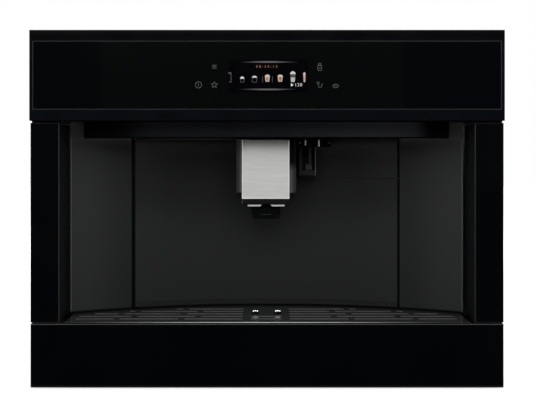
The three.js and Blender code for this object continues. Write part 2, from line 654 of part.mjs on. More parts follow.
// ---------------------------------------------------------------- coffee spout
function makeSpout() {
  const left = MIDDLE_X - GUIDE_HALF;
  const right = MIDDLE_X + GUIDE_HALF;
  const bodyHalf = COVER_WIDTH / 2;
  const channel = bodyHalf + GUIDE_CLEAR;
  const backR = WALL_RADIUS - SEAT;
  const frontY = behind(GUIDE_FRONT);
  const channelBack = behind(WALL_DEPTH - GUIDE_WEB);
  const guide = new THREE.Shape();
  guide.moveTo(left, frontY);
  guide.lineTo(MIDDLE_X - channel, frontY);
  guide.lineTo(MIDDLE_X - channel, channelBack);
  guide.lineTo(MIDDLE_X + channel, channelBack);
  guide.lineTo(MIDDLE_X + channel, frontY);
  guide.lineTo(right, frontY);
  guide.absarc(0, arcY, backR, Math.acos(right / backR), Math.acos(left / backR), false);
  piece('spout_guide', upright(guide, guideBottom, guideTop, 6), blackPlastic);

  const coverFront = behind(SPOUT_FRONT);
  const bodyFront = coverFront + COVER_T + SEAT;
  const innerHalf = bodyHalf - COVER_T;
  const wrapBack = coverFront + COVER_WRAP;
  const cover = outline([
    [MIDDLE_X - bodyHalf, coverFront],
    [MIDDLE_X + bodyHalf, coverFront],
    [MIDDLE_X + bodyHalf, wrapBack],
    [MIDDLE_X + innerHalf, wrapBack],
    [MIDDLE_X + innerHalf, coverFront + COVER_T],
    [MIDDLE_X - innerHalf, coverFront + COVER_T],
    [MIDDLE_X - innerHalf, wrapBack],
    [MIDDLE_X - bodyHalf, wrapBack],
  ]);
  piece('spout_cover', upright(cover, coverBottom, coverTop), brushedSteel);

  const coreHalf = innerHalf - SEAT;
  const bodyBack = channelBack - GUIDE_CLEAR;
  const core = outline([
    [MIDDLE_X - coreHalf, bodyFront],
    [MIDDLE_X + coreHalf, bodyFront],
    [MIDDLE_X + coreHalf, wrapBack + SEAT],
    [MIDDLE_X + bodyHalf, wrapBack + SEAT],
    [MIDDLE_X + bodyHalf, bodyBack],
    [MIDDLE_X - bodyHalf, bodyBack],
    [MIDDLE_X - bodyHalf, wrapBack + SEAT],
    [MIDDLE_X - coreHalf, wrapBack + SEAT],
  ]);
  piece('spout_body', upright(core, bodyBottom, coverTop - BODY_TOP_GAP), blackPlastic);

  const strips = [-1, 1].map((side) => {
    const near = MIDDLE_X + side * STRIP_SPACING / 2;
    const far = near + side * STRIP_LENGTH;
    const lean = side * STRIP_HEIGHT;
    const points = [
      [near, stripBottom],
      [far - lean * STRIP_OUTER_SLANT, stripBottom],
      [far, stripBottom + STRIP_HEIGHT],
      [near + lean * STRIP_INNER_SLANT, stripBottom + STRIP_HEIGHT],
    ];
    const shape = outline(side > 0 ? points : points.reverse());
    return rearward(shape, bodyFront, bodyFront + STRIP_DEPTH);
  });
  const bridge = box(
    MIDDLE_X - STRIP_SPACING, MIDDLE_X + STRIP_SPACING,
    bodyFront + STRIP_DEPTH - STRIP_BRIDGE_T, bodyFront + STRIP_DEPTH,
    stripBottom + STRIP_BRIDGE_RISE, stripBottom + STRIP_HEIGHT,
  );
  piece('spout_bright_strips', join(bridge, ...strips), chrome);

  const nozzleTop = bodyBottom - SEAT;
  const nozzleBottom = stripBottom - NOZZLE_DROP - NOZZLE_HEIGHT;
  const nozzleFront = bodyFront + STRIP_DEPTH + SEAT;
  const nozzle = box(
    MIDDLE_X - NOZZLE_HALF, MIDDLE_X + NOZZLE_HALF,
    nozzleFront, nozzleFront + NOZZLE_DEPTH,
    nozzleBottom, nozzleTop,
  );
  const outletLow = nozzleBottom - OVERCUT;
  const outletHigh = nozzleTop - OUTLET_ROOF;
  const outlets = [-1, 1].map((side) => turned(
    [[0, outletLow], [OUTLET_R, outletLow], [OUTLET_R, outletHigh], [0, outletHigh]],
    MIDDLE_X + side * OUTLET_X,
    nozzleFront + NOZZLE_DEPTH / 2,
    16,
  ));
  piece('spout_nozzle_block', cut(nozzle, ...outlets), blackPlastic);
}

// ---------------------------------------------------------------- steam and hot water connector
function makeConnector() {
  const top = ledgeBottom - SEAT;
  const blockBottom = top - CONNECTOR_TOP_H;
  const front = behind(CONNECTOR_FRONT);
  const backR = WALL_RADIUS - SEAT;
  const block = new THREE.Shape();
  block.moveTo(CONNECTOR_LEFT, front);
  block.lineTo(CONNECTOR_RIGHT, front);
  block.absarc(0, arcY, backR, Math.acos(CONNECTOR_RIGHT / backR), Math.acos(CONNECTOR_LEFT / backR), false);
  const pinTop = top - PIN_TOP;
  const pinBottom = pinTop - PIN_LENGTH;
  const pins = PIN_XS.map((x) => turned(
    [[0, pinBottom], [PIN_R, pinBottom], [PIN_R, pinTop], [0, pinTop]],
    x,
    front,
    12,
  ));
  piece('connector_block', join(upright(block, blockBottom, top, 4), ...pins), blackPlastic);

  const housing = new THREE.Shape();
  housing.moveTo(CONNECTOR_LEFT, front);
  housing.lineTo(POCKET_RIGHT, front);
  housing.absarc(0, arcY, backR, Math.acos(POCKET_RIGHT / backR), Math.acos(CONNECTOR_LEFT / backR), false);
  const housingTop = blockBottom - SEAT;
  const pocket = box(
    CONNECTOR_LEFT + POCKET_WALL, POCKET_RIGHT - POCKET_WALL,
    front - OVERCUT, front + POCKET_DEPTH,
    POCKET_BOTTOM + POCKET_WALL, housingTop + OVERCUT,
  );
  const nozzleZ = POCKET_BOTTOM + STEAM_NOZZLE_RISE;
  const nozzleBack = front + POCKET_DEPTH + OVERCUT;
  piece('connector_housing', join(
    cut(upright(housing, POCKET_BOTTOM, housingTop, 4), pocket),
    bar(STEAM_NOZZLE_X, nozzleZ, STEAM_TIP_R, front + STEAM_TIP_SETBACK, nozzleBack, 16),
    bar(STEAM_NOZZLE_X, nozzleZ, STEAM_NOZZLE_R, front + STEAM_NOZZLE_SETBACK, nozzleBack, 16),
  ), blackPlastic);

  const leverTop = housingTop - SEAT;
  const leverFront = front + LEVER_SETBACK;
  const lever = box(
    LEVER_X - LEVER_HALF, LEVER_X + LEVER_HALF,
    leverFront, leverFront + LEVER_T,
    leverTop - LEVER_LENGTH, leverTop,
  );
  piece('connector_lever', lever, greyPlastic);

  const start = arcAt(wallOuter, LEVER_X) + SEAT;
  const level = nozzleZ + PIPE_RISE;
  const dock = behind(BAY_START + BOILER_SETBACK);
  const dockZ = bayFloorTop + BOILER_HEIGHT - PIPE_DOCK_DROP;
  const runZ = level + PIPE_RISE;
  const route = new THREE.CatmullRomCurve3([
    new THREE.Vector3(LEVER_X, start, level),
    new THREE.Vector3(LEVER_X, start + PIPE_LEAD, level),
    new THREE.Vector3(LEVER_X + PIPE_BEND_X, start + PIPE_BEND_Y, runZ),
    new THREE.Vector3(BOILER_X - PIPE_RUN_GAP, start + PIPE_RUN_Y, runZ),
    new THREE.Vector3(BOILER_X, start + PIPE_RUN_Y - PIPE_RISE, level - PIPE_FALL),
    new THREE.Vector3(BOILER_X, dock - PIPE_DOCK_LEAD, dockZ + PIPE_LEAD),
    new THREE.Vector3(BOILER_X, dock - PIPE_DOCK_SHORT, dockZ),
    new THREE.Vector3(BOILER_X, dock - SEAT, dockZ),
  ], false, 'centripetal');
  const section = new THREE.Shape();
  section.absarc(0, 0, PIPE_R, 0, 2 * Math.PI);
  const pipe = new THREE.ExtrudeGeometry(section, { steps: 40, extrudePath: route, curveSegments: 8 });
  piece('steam_pipe', pipe, clearPlastic);
}

// ---------------------------------------------------------------- drip tray
function slotTools() {
  const tools = [];
  const slot = (u0, u1, y) => box(
    MIDDLE_X + Math.min(u0, u1), MIDDLE_X + Math.max(u0, u1),
    y - SLOT_W / 2, y + SLOT_W / 2,
    grilleTop - GRILLE_T - OVERCUT, grilleTop + OVERCUT,
  );
  const backR = WALL_RADIUS - GRILLE_BACK_GAP - SLOT_EDGE;
  for (let row = 0; row < SLOT_ROWS; row += 1) {
    const y = behind(SLOT_FIRST + row * SLOT_PITCH);
    const room = Math.sqrt(backR ** 2 - (y + SLOT_W - arcY) ** 2);
    const reach = Math.min(GRILLE_HALF - SLOT_EDGE, room);
    const stagger = (row % 2) * (SLOT_LENGTH + SLOT_BREAK) / 2;
    for (const side of [-1, 1]) {
      let start = SLOT_INNER;
      let end = Math.min(start + SLOT_LENGTH - stagger / 2, reach);
      while (end - start > 2 * SLOT_W) {
        tools.push(slot(side * start, side * end, y));
        start = end + SLOT_BREAK;
        end = Math.min(start + SLOT_LENGTH, reach);
      }
    }
  }
  for (let row = 0; row < CENTRE_ROWS; row += 1) {
    tools.push(slot(-CENTRE_SLOT_HALF, CENTRE_SLOT_HALF, behind(SLOT_FIRST + row * SLOT_PITCH)));
  }
  return tools;
}

function makeTray() {
  const panel = box(-frontHalf, frontHalf, pillarY, behind(GLASS_T), FRONT_LIFT, panelTop);
  piece('tray_front_glass', panel, blackGlass);
  const carrierHalf = frontHalf - TRAY_CARRIER_INSET;
  const carrierFront = behind(GLASS_T + SEAT);
  const carrierBack = carrierFront + TRAY_CARRIER_T;
  const carrier = box(
    -carrierHalf, carrierHalf,
    carrierFront, carrierBack,
    FRONT_LIFT + TRAY_CARRIER_INSET, panelTop - TRAY_CARRIER_INSET,
  );

  const basinBottom = BASE_Z + SHEET_T + SEAT;
  const basinTop = grilleTop - GRILLE_T - SEAT;
  const basinFront = carrierBack - BASIN_T;
  const backR = WALL_RADIUS - GRILLE_BACK_GAP;
  const basinShape = (half, front, r) => {
    const shape = new THREE.Shape();
    shape.moveTo(-half, front);
    shape.lineTo(half, front);
    shape.absarc(0, arcY, r, Math.acos(half / r), Math.acos(-half / r), false);
    return shape;
  };
  const outer = upright(basinShape(BASIN_HALF, basinFront, backR), basinBottom, basinTop, 20);
  const inner = upright(
    basinShape(BASIN_HALF - BASIN_T, basinFront + BASIN_T, backR - BASIN_T),
    basinBottom + BASIN_T, basinTop + OVERCUT, 20,
  );
  piece('drip_basin', cut(join(outer, carrier), inner), blackPlastic);

  const grille = basinShape(GRILLE_HALF, behind(GRILLE_FRONT), backR);
  const plate = upright(grille, grilleTop - GRILLE_T, grilleTop, 24);
  piece('tray_grille', cut(plate, ...slotTools()), blackPlastic);

  const low = grilleTop + SEAT;
  const profile = [[0, low], [STUD_R, low], [STUD_R, low + STUD_HEIGHT * STUD_SKIRT]];
  for (let step = 1; step <= STUD_STEPS; step += 1) {
    const turn = step / STUD_STEPS * Math.PI / 2;
    const r = step === STUD_STEPS ? 0 : STUD_R * Math.cos(turn);
    profile.push([r, low + STUD_HEIGHT * (STUD_SKIRT + (1 - STUD_SKIRT) * Math.sin(turn))]);
  }
  for (const [side, word] of [[-1, 'left'], [1, 'right']]) {
    const stud = turned(profile, MIDDLE_X + side * STUD_X, behind(STUD_DEPTH), 20);
    piece(`${word}_tray_stud`, stud, chrome);
  }
}

// ---------------------------------------------------------------- chassis
// A row of boxes that cut vent slots; slot(start, end) makes one from its place along the row.
function ventRow(first, count, slot) {
  return Array.from({ length: count }, (_, index) => {
    const start = first + index * VENT_PITCH;
    return slot(start, start + VENT_W);
  });
}

function makeChassis() {
  const back = behind(chassisBack);
  const front = behind(CHASSIS_FRONT);
  const shelf = BASE_SHELF_Z - SHEET_T;
  const floor = BASE_Z + SHEET_T;
  const wall = BASE_HALF - SHEET_T;
  const base = outline([
    [-BASE_HALF, BASE_Z], [BASE_HALF, BASE_Z], [BASE_HALF, shelf], [CHASSIS_HALF, shelf],
    [CHASSIS_HALF, BASE_SHELF_Z], [wall, BASE_SHELF_Z], [wall, floor], [-wall, floor],
    [-wall, BASE_SHELF_Z], [-CHASSIS_HALF, BASE_SHELF_Z], [-CHASSIS_HALF, shelf], [-BASE_HALF, shelf],
  ]);
  piece('chassis_base', rearward(base, front, back - SEAT), zincSheet);

  const sideShape = rectangle(front, back - SEAT, BASE_SHELF_Z + SEAT, CHASSIS_TOP - SHEET_T - SEAT);
  const sideVentTop = CHASSIS_TOP - SIDE_VENT_MARGIN;
  const sideVentStart = back - SIDE_VENT_MARGIN - SIDE_VENTS * VENT_PITCH;
  const sideVents = ventRow(sideVentStart, SIDE_VENTS, (y0, y1) => box(
    -CHASSIS_HALF - OVERCUT, CHASSIS_HALF + OVERCUT,
    y0, y1,
    sideVentTop - VENT_L, sideVentTop,
  ));
  const leftSide = sideward(sideShape, -CHASSIS_HALF, SHEET_T - CHASSIS_HALF);
  piece('left_side_panel', cut(leftSide, ...sideVents), zincSheet);
  const rightSide = sideward(sideShape, CHASSIS_HALF - SHEET_T, CHASSIS_HALF);
  piece('right_side_panel', cut(rightSide, ...sideVents), zincSheet);

  const rearShape = outline([
    [-BASE_HALF, BASE_Z], [BASE_HALF, BASE_Z], [BASE_HALF, shelf], [CHASSIS_HALF, shelf],
    [CHASSIS_HALF, CHASSIS_TOP], [-CHASSIS_HALF, CHASSIS_TOP], [-CHASSIS_HALF, shelf], [-BASE_HALF, shelf],
  ]);
  const ventTop = CHASSIS_TOP - REAR_VENT_DROP;
  const holeFront = back - OVERCUT;
  const holeBack = back + SHEET_T + OVERCUT;
  const rearVents = REAR_VENT_STARTS.flatMap((first) => ventRow(first, REAR_VENTS, (x0, x1) => box(
    x0, x1,
    holeFront, holeBack,
    ventTop - VENT_L, ventTop,
  )));
  const inletHole = box(
    INLET_RIGHT - INLET_WIDTH - SWITCH_WIDTH, INLET_RIGHT,
    holeFront, holeBack,
    INLET_Z - INLET_HEIGHT / 2, INLET_Z + INLET_HEIGHT / 2,
  );
  const rear = rearward(rearShape, back, back + SHEET_T);
  piece('rear_panel', cut(rear, inletHole, ...rearVents), zincSheet);

  const arcR = WALL_RADIUS + BAY_FLOOR_SETBACK;
  const floorHalf = CHASSIS_HALF - SHEET_T - SEAT;
  const floorShape = new THREE.Shape();
  const shoulder = arcAt(arcR, nicheHalf);
  floorShape.moveTo(-floorHalf, shoulder);
  floorShape.absarc(0, arcY, arcR, Math.acos(-nicheHalf / arcR), Math.acos(nicheHalf / arcR), true);
  floorShape.lineTo(floorHalf, shoulder);
  floorShape.lineTo(floorHalf, back - SEAT);
  floorShape.lineTo(-floorHalf, back - SEAT);
  floorShape.holes.push(circle(hingeX, hingeY, HINGE_PIN_R + HINGE_CLEAR));
  piece('bay_floor', upright(floorShape, bayFloorTop - BAY_FLOOR_T, bayFloorTop, 24), zincSheet);
}

// ---------------------------------------------------------------- telescopic runners
// A channel section drawn for the right side, or mirrored for the left.
function channel(side, points, y0, y1) {
  const placed = points.map(([x, z]) => [side * x, z]);
  return rearward(outline(side > 0 ? placed : placed.reverse()), y0, y1);
}

function makeRunners() {
  const y0 = behind(RUNNER_START);
  const y1 = y0 + RUNNER_LENGTH;
  const top = RUNNER_HEIGHT;
  const mouth = BASE_HALF + RUNNER_GAP;
  const outside = mouth + RUNNER_WIDTH;
  const foot = outside + RUNNER_FOOT_WIDTH;
  const web = outside - SHEET_T;
  const cabinet = [
    [mouth, 0], [foot, 0], [foot, RUNNER_FOOT_T], [outside, RUNNER_FOOT_T],
    [outside, top], [mouth, top], [mouth, top - SHEET_T], [web, top - SHEET_T],
    [web, RUNNER_FOOT_T], [mouth, RUNNER_FOOT_T],
  ];
  const strap = mouth + OVERCUT;
  piece('cabinet_runners', join(
    channel(-1, cabinet, y0, y1),
    channel(1, cabinet, y0, y1),
    box(-strap, strap, y0 + STRAP_INSET, y0 + STRAP_INSET + STRAP_WIDTH, 0, RUNNER_FOOT_T),
    box(-strap, strap, y1 - STRAP_INSET - STRAP_WIDTH, y1 - STRAP_INSET, 0, RUNNER_FOOT_T),
  ), zincSheet);

  const low = RUNNER_FOOT_T + RUNNER_PLAY;
  const high = top - SHEET_T - RUNNER_PLAY;
  const midOut = web - 2 * RUNNER_PLAY;
  const midWeb = midOut - SHEET_T;
  const midIn = mouth + RUNNER_PLAY;
  const middle = [
    [midIn, low], [midOut, low], [midOut, high], [midIn, high],
    [midIn, high - RUNNER_GAUGE], [midWeb, high - RUNNER_GAUGE],
    [midWeb, low + RUNNER_GAUGE], [midIn, low + RUNNER_GAUGE],
  ];
  const inLow = low + RUNNER_GAUGE + RUNNER_PLAY;
  const inHigh = high - RUNNER_GAUGE - RUNNER_PLAY;
  const inWall = BASE_HALF + SEAT;
  const inOut = midWeb - RUNNER_PLAY;
  const inner = [
    [inWall, inLow], [inOut, inLow], [inOut, inLow + SHEET_T], [inWall + SHEET_T, inLow + SHEET_T],
    [inWall + SHEET_T, inHigh - SHEET_T], [inOut, inHigh - SHEET_T], [inOut, inHigh], [inWall, inHigh],
  ];
  for (const [side, word] of [[-1, 'left'], [1, 'right']]) {
    piece(`${word}_middle_runner`, channel(side, middle, y0, y1), castAlloy);
    piece(`${word}_machine_runner`, channel(side, inner, y0, y1), zincSheet);
  }
}

// ---------------------------------------------------------------- water tank and grounds container
const bayY = behind(BAY_START);
const hopperY = bayY + BREW_DEPTH / 2;

function openBox(x, width, y0, depth, z0, height, wall) {
  const outer = box(x - width / 2, x + width / 2, y0, y0 + depth, z0, z0 + height);
  const inner = box(
    x - width / 2 + wall, x + width / 2 - wall,
    y0 + wall, y0 + depth - wall,
    z0 + wall, z0 + height + OVERCUT,
  );
  return cut(outer, inner);
}

function makeContainers() {
  const low = bayFloorTop + SEAT;
  const tank = openBox(TANK_X, TANK_WIDTH, bayY, TANK_DEPTH, low, TANK_HEIGHT, TANK_T);
  piece('water_tank', tank, clearPlastic);
  const lidLow = low + TANK_HEIGHT + SEAT;
  const lidTop = lidLow + TANK_LID_T;
  const gripY = bayY + TANK_GRIP_START;
  const lid = join(
    box(TANK_X - TANK_WIDTH / 2, TANK_X + TANK_WIDTH / 2, bayY, bayY + TANK_DEPTH, lidLow, lidTop),
    box(
      TANK_X - TANK_GRIP_HALF, TANK_X + TANK_GRIP_HALF,
      gripY, gripY + TANK_GRIP_T,
      lidTop - OVERCUT, lidTop + TANK_GRIP_HEIGHT,
    ),
  );
  piece('water_tank_lid', lid, greyPlastic);
  const gripTop = low + GROUNDS_HEIGHT - GROUNDS_GRIP_DROP;
  const grounds = join(
    openBox(GROUNDS_X, GROUNDS_WIDTH, bayY, GROUNDS_DEPTH, low, GROUNDS_HEIGHT, TANK_T),
    box(
      GROUNDS_X - GROUNDS_GRIP_HALF, GROUNDS_X + GROUNDS_GRIP_HALF,
      bayY - GROUNDS_GRIP_OUT, bayY + OVERCUT,
      gripTop - GROUNDS_GRIP_T, gripTop,
    ),
  );
  piece('grounds_container', grounds, greyPlastic);
}

// ---------------------------------------------------------------- brew unit
function makeBrewUnit() {
  const low = bayFloorTop + SEAT;
  const high = low + BREW_HEIGHT;
  const left = BREW_X - BREW_WIDTH / 2;
  const right = BREW_X + BREW_WIDTH / 2;
  const y1 = bayY + BREW_DEPTH;
  const frame = outline([
    [bayY, low], [y1, low], [y1, high], [bayY, high],
    [bayY, high - BREW_PLATE], [y1 - BREW_PLATE, high - BREW_PLATE],
    [y1 - BREW_PLATE, low + BREW_PLATE], [bayY, low + BREW_PLATE],
  ]);

  const chamberY = bayY + (BREW_DEPTH - BREW_PLATE) / 2;
  const carriageLow = low + BREW_PLATE + SEAT;
  const carriageTop = carriageLow + CARRIAGE_HEIGHT;
  const block = box(
    left + CARRIAGE_INSET, right - CARRIAGE_INSET,
    bayY + CARRIAGE_SETBACK, y1 - BREW_PLATE - SEAT,
    carriageLow, carriageTop,
  );
  const chamberLow = carriageLow + CHAMBER_FLOOR;
  const chamberTop = carriageTop + OVERCUT;
  const chamber = turned(
    [[0, chamberLow], [CHAMBER_R, chamberLow], [CHAMBER_R, chamberTop], [0, chamberTop]],
    BREW_X, chamberY,
  );
  piece('brew_carriage', cut(block, chamber), blackPlastic);
  const pistonTop = high - BREW_PLATE + OVERCUT;
  const pistonLow = pistonTop - PISTON_HEIGHT;
  const headTop = pistonLow + PISTON_HEAD;
  const piston = turned([
    [0, pistonLow], [PISTON_R, pistonLow], [PISTON_R, headTop],
    [PISTON_NECK_R, headTop + PISTON_SHOULDER], [PISTON_NECK_R, pistonTop], [0, pistonTop],
  ], BREW_X, chamberY);
  piece('brew_frame', join(sideward(frame, left, right), piston), greyPlastic);
}

// ---------------------------------------------------------------- grinder, bean container, lids, knob
function makeLid(name, x, half, y, depthHalf, material) {
  const low = CHASSIS_TOP + SEAT + FLANGE_T + SEAT;
  const lidTop = low + LID_T;
  const lidFront = y - depthHalf - LID_MARGIN;
  const lidBack = y + depthHalf + LID_MARGIN;
  const axisY = lidBack + LID_BARREL_R;
  const axisZ = low + LID_BARREL_R;
  const lidHalf = half + LID_MARGIN;
  const plate = upright(
    roundedRectangle(x - lidHalf, x + lidHalf, lidFront, lidBack, LID_CORNER_R),
    low, lidTop, 4,
  );
  const barrelHalf = half * LID_BARREL_SHARE;
  const along = (r, reach, segments) =>
    new THREE.CylinderGeometry(r, r, 2 * reach, segments)
      .rotateZ(Math.PI / 2)
      .translate(x, axisY, axisZ);
  const barrel = along(LID_BARREL_R, barrelHalf, 20);
  const bore = along(LID_PIN_R + LID_PIN_CLEAR, barrelHalf + OVERCUT, 16);
  const web = box(x - barrelHalf, x + barrelHalf, lidBack - OVERCUT, axisY, low, low + LID_WEB_T);
  const gripHalf = half * LID_GRIP_SHARE;
  const gripY = lidFront + LID_GRIP_INSET;
  const grip = box(
    x - gripHalf, x + gripHalf,
    gripY, gripY + LID_GRIP_DEPTH,
    lidTop - OVERCUT, lidTop + LID_GRIP_RISE,
  );
  piece(`${name}_lid`, cut(join(plate, web, barrel, grip), bore), material);
  const pinEnd = barrelHalf + SEAT + LID_LUG_W;
  const pin = along(LID_PIN_R, pinEnd, 16);
  const lugs = [-1, 1].map((side) => {
    const near = side * (barrelHalf + SEAT);
    const far = side * pinEnd;
    return box(
      x + Math.min(near, far), x + Math.max(near, far),
      lidBack + LID_LUG_GAP, axisY + LID_BARREL_R + LID_LUG_BACK,
      CHASSIS_TOP - SHEET_T / 2, axisZ + LID_LUG_RISE,
    );
  });
  return [pin, ...lugs];
}

function makeGrinder() {
  const low = bayFloorTop + SEAT + BREW_HEIGHT + SEAT;
  const high = low + GRINDER_HEIGHT;
  const bowl = turned([
    [0, low], [GRINDER_R, low], [GRINDER_R, high],
    [GRINDER_R - GRINDER_WALL, high], [GRINDER_R - GRINDER_WALL, low + GRINDER_FLOOR],
    [0, low + GRINDER_FLOOR],
  ], BREW_X, hopperY, 28);
  piece('grinder_body', bowl, castAlloy);
  const burrLow = low + GRINDER_FLOOR + SEAT;
  const burrTop = burrLow + BURR_HEIGHT;
  const burrR = GRINDER_R - GRINDER_WALL - BURR_CLEAR;
  const burr = turned([
    [0, burrLow], [burrR, burrLow], [burrR, burrLow + BURR_RIM], [BURR_TIP_R, burrTop], [0, burrTop],
  ], BREW_X, hopperY, 18);
  piece('grinder_burr', burr, castAlloy);

  const throat = high + SEAT;
  const flangeLow = CHASSIS_TOP + SEAT;
  const flangeTop = flangeLow + FLANGE_T;
  const neck = throat + HOPPER_THROAT_HEIGHT;
  const shoulder = throat + HOPPER_SHOULDER;
  const hopper = turned([
    [HOPPER_THROAT_R, throat], [HOPPER_THROAT_R + HOPPER_T, throat],
    [HOPPER_THROAT_R + HOPPER_T, neck], [HOPPER_R, shoulder], [HOPPER_R, flangeLow],
    [HOPPER_R + HOPPER_FLANGE, flangeLow], [HOPPER_R + HOPPER_FLANGE, flangeTop],
    [HOPPER_R - HOPPER_T, flangeTop], [HOPPER_R - HOPPER_T, shoulder + HOPPER_CONE_RISE],
    [HOPPER_THROAT_R, neck + HOPPER_FLOOR_RISE], [HOPPER_THROAT_R, throat],
  ], BREW_X, hopperY, 32);
  piece('bean_container', hopper, clearPlastic);
  const beanHinge = makeLid('bean', BREW_X, HOPPER_R, hopperY, HOPPER_R, glossBlack);

  const chuteLow = CHASSIS_TOP - CHUTE_LENGTH;
  const squareTube = (reach, z0, z1) => box(
    CHUTE_X - reach, CHUTE_X + reach,
    hopperY - reach, hopperY + reach,
    z0, z1,
  );
  const tube = cut(
    join(
      squareTube(CHUTE_HALF, chuteLow, flangeTop),
      squareTube(CHUTE_HALF + CHUTE_FLANGE, flangeLow, flangeTop),
    ),
    squareTube(CHUTE_HALF - CHUTE_T, chuteLow - OVERCUT, flangeTop + OVERCUT),
  );
  piece('ground_coffee_chute', tube, greyPlastic);
  const chuteHinge = makeLid('ground_coffee', CHUTE_X, CHUTE_HALF, hopperY, CHUTE_HALF, glossBlack);
  const cover = rectangle(-CHASSIS_HALF, CHASSIS_HALF, behind(CHASSIS_FRONT), behind(chassisBack) - SEAT);
  cover.holes.push(circle(BREW_X, hopperY, HOPPER_R + SEAT));
  cover.holes.push(rectangle(
    CHUTE_X - CHUTE_HALF - SEAT, CHUTE_X + CHUTE_HALF + SEAT,
    hopperY - CHUTE_HALF - SEAT, hopperY + CHUTE_HALF + SEAT,
  ));
  cover.holes.push(circle(KNOB_X, hopperY, KNOB_SHAFT_R + SEAT));
  const sheet = upright(cover, CHASSIS_TOP - SHEET_T, CHASSIS_TOP, 24);
  piece('top_cover', join(sheet, ...beanHinge, ...chuteHinge), zincSheet);

  const knobLow = CHASSIS_TOP + SEAT;
  const knobTop = knobLow + KNOB_HEIGHT;
  const shaftLow = CHASSIS_TOP - KNOB_SHAFT_LENGTH;
  const knob = join(
    turned([
      [0, shaftLow], [KNOB_SHAFT_R, shaftLow], [KNOB_SHAFT_R, knobLow], [KNOB_R, knobLow],
      [KNOB_R, knobTop - KNOB_CHAMFER], [KNOB_R - KNOB_CHAMFER, knobTop], [0, knobTop],
    ], KNOB_X, hopperY, 28),
    box(
      KNOB_X - KNOB_MARK_HALF, KNOB_X + KNOB_MARK_HALF,
      hopperY - KNOB_R + KNOB_MARK_INSET, hopperY - KNOB_MARK_INNER,
      knobTop - OVERCUT, knobTop + KNOB_MARK_RISE,
    ),
  );
  piece('grind_knob', knob, glossBlack);
}

// ---------------------------------------------------------------- boiler, pump, electrics
function makeServices() {
  const low = bayFloorTop + SEAT;
  const back = behind(chassisBack);
  const inletFront = back - INLET_DEPTH;
  const pumpBack = inletFront - PUMP_INLET_GAP - PUMP_STUB_BACK;
  const pumpFront = pumpBack - PUMP_LENGTH;
  const boilerY = bayY + BOILER_SETBACK;
  const boilerBack = pumpFront - PUMP_GAP;
  const half = BOILER_WIDTH / 2;
  const finPitch = BOILER_HEIGHT / FIN_COUNT;
  const grooves = [];
  for (let fin = 1; fin < FIN_COUNT; fin += 1) {
    const z = low + fin * finPitch;
    grooves.push(box(
      BOILER_X + half - FIN_DEPTH, BOILER_X + half + OVERCUT,
      boilerY - OVERCUT, boilerBack + OVERCUT,
      z - finPitch / 4, z + finPitch / 4,
    ));
  }
  const block = box(
    BOILER_X - half, BOILER_X + half,
    boilerY, boilerBack,
    low, low + BOILER_HEIGHT,
  );
  piece('thermoblock', cut(block, ...grooves), castAlloy);

  const pumpZ = low + PUMP_R + PUMP_FOOT;
  const bracketHalf = PUMP_BRACKET / 2;
  const pump = join(
    bar(PUMP_X, pumpZ, PUMP_R, pumpFront, pumpBack, 28),
    box(
      PUMP_X - bracketHalf, PUMP_X + bracketHalf,
      pumpFront + PUMP_BRACKET_INSET, pumpBack - PUMP_BRACKET_INSET,
      low, pumpZ,
    ),
    bar(PUMP_X, pumpZ, PUMP_STUB_R, pumpFront - PUMP_STUB_FRONT, pumpBack + PUMP_STUB_BACK, 16),
  );
  piece('water_pump', pump, castAlloy);

  const sideFace = CHASSIS_HALF - SHEET_T - SEAT;
  const boardX = sideFace + SEAT - CONTROL_GAP;
  const boardFront = hopperY + CONTROL_SETBACK;
  const boardBack = boardFront + CONTROL_LENGTH;
  const board = box(boardX - BOARD_T, boardX, boardFront, boardBack, CONTROL_BOTTOM, CONTROL_TOP);
  const postStart = boardX - POST_SINK;
  const postLength = sideFace - postStart;
  const standoffs = [];
  for (const y of [boardFront + POST_MARGIN, boardBack - POST_MARGIN]) {
    for (const z of [CONTROL_BOTTOM + POST_MARGIN, CONTROL_TOP - POST_MARGIN]) {
      const post = new THREE.CylinderGeometry(POST_R, POST_R, postLength, 12);
      standoffs.push(post.rotateZ(Math.PI / 2).translate(postStart + postLength / 2, y, z));
    }
  }
  piece('control_board', join(board, ...standoffs), boardGreen);

  const rearFace = back + SHEET_T;
  const inletLow = INLET_Z - INLET_HEIGHT / 2;
  const inletHigh = INLET_Z + INLET_HEIGHT / 2;
  const inletLeft = INLET_RIGHT - INLET_WIDTH;
  const shell = box(
    inletLeft - SWITCH_WIDTH + SEAT, INLET_RIGHT - SEAT,
    inletFront, rearFace,
    inletLow + SEAT, inletHigh - SEAT,
  );
  const socket = box(
    inletLeft + INLET_RIM, INLET_RIGHT - INLET_RIM,
    inletFront + INLET_FLOOR, rearFace + OVERCUT,
    inletLow + INLET_RIM, inletHigh - INLET_RIM,
  );
  const well = box(
    switchX - ROCKER_HALF - SEAT, switchX + ROCKER_HALF + SEAT,
    back - SWITCH_WELL, rearFace + OVERCUT,
    inletLow + INLET_RIM, inletHigh - INLET_RIM,
  );
  const pins = [-1, 0, 1].map((place) => {
    const x = INLET_RIGHT - INLET_WIDTH / 2 + place * CONTACT_PITCH;
    const z = INLET_Z + (place === 0 ? CONTACT_RISE : 0);
    return box(
      x - CONTACT_HALF_X, x + CONTACT_HALF_X,
      inletFront + INLET_FLOOR - OVERCUT, back - CONTACT_SUNK,
      z - CONTACT_HALF_Z, z + CONTACT_HALF_Z,
    );
  });
  piece('power_inlet', join(cut(shell, socket, well), ...pins), blackPlastic);
}

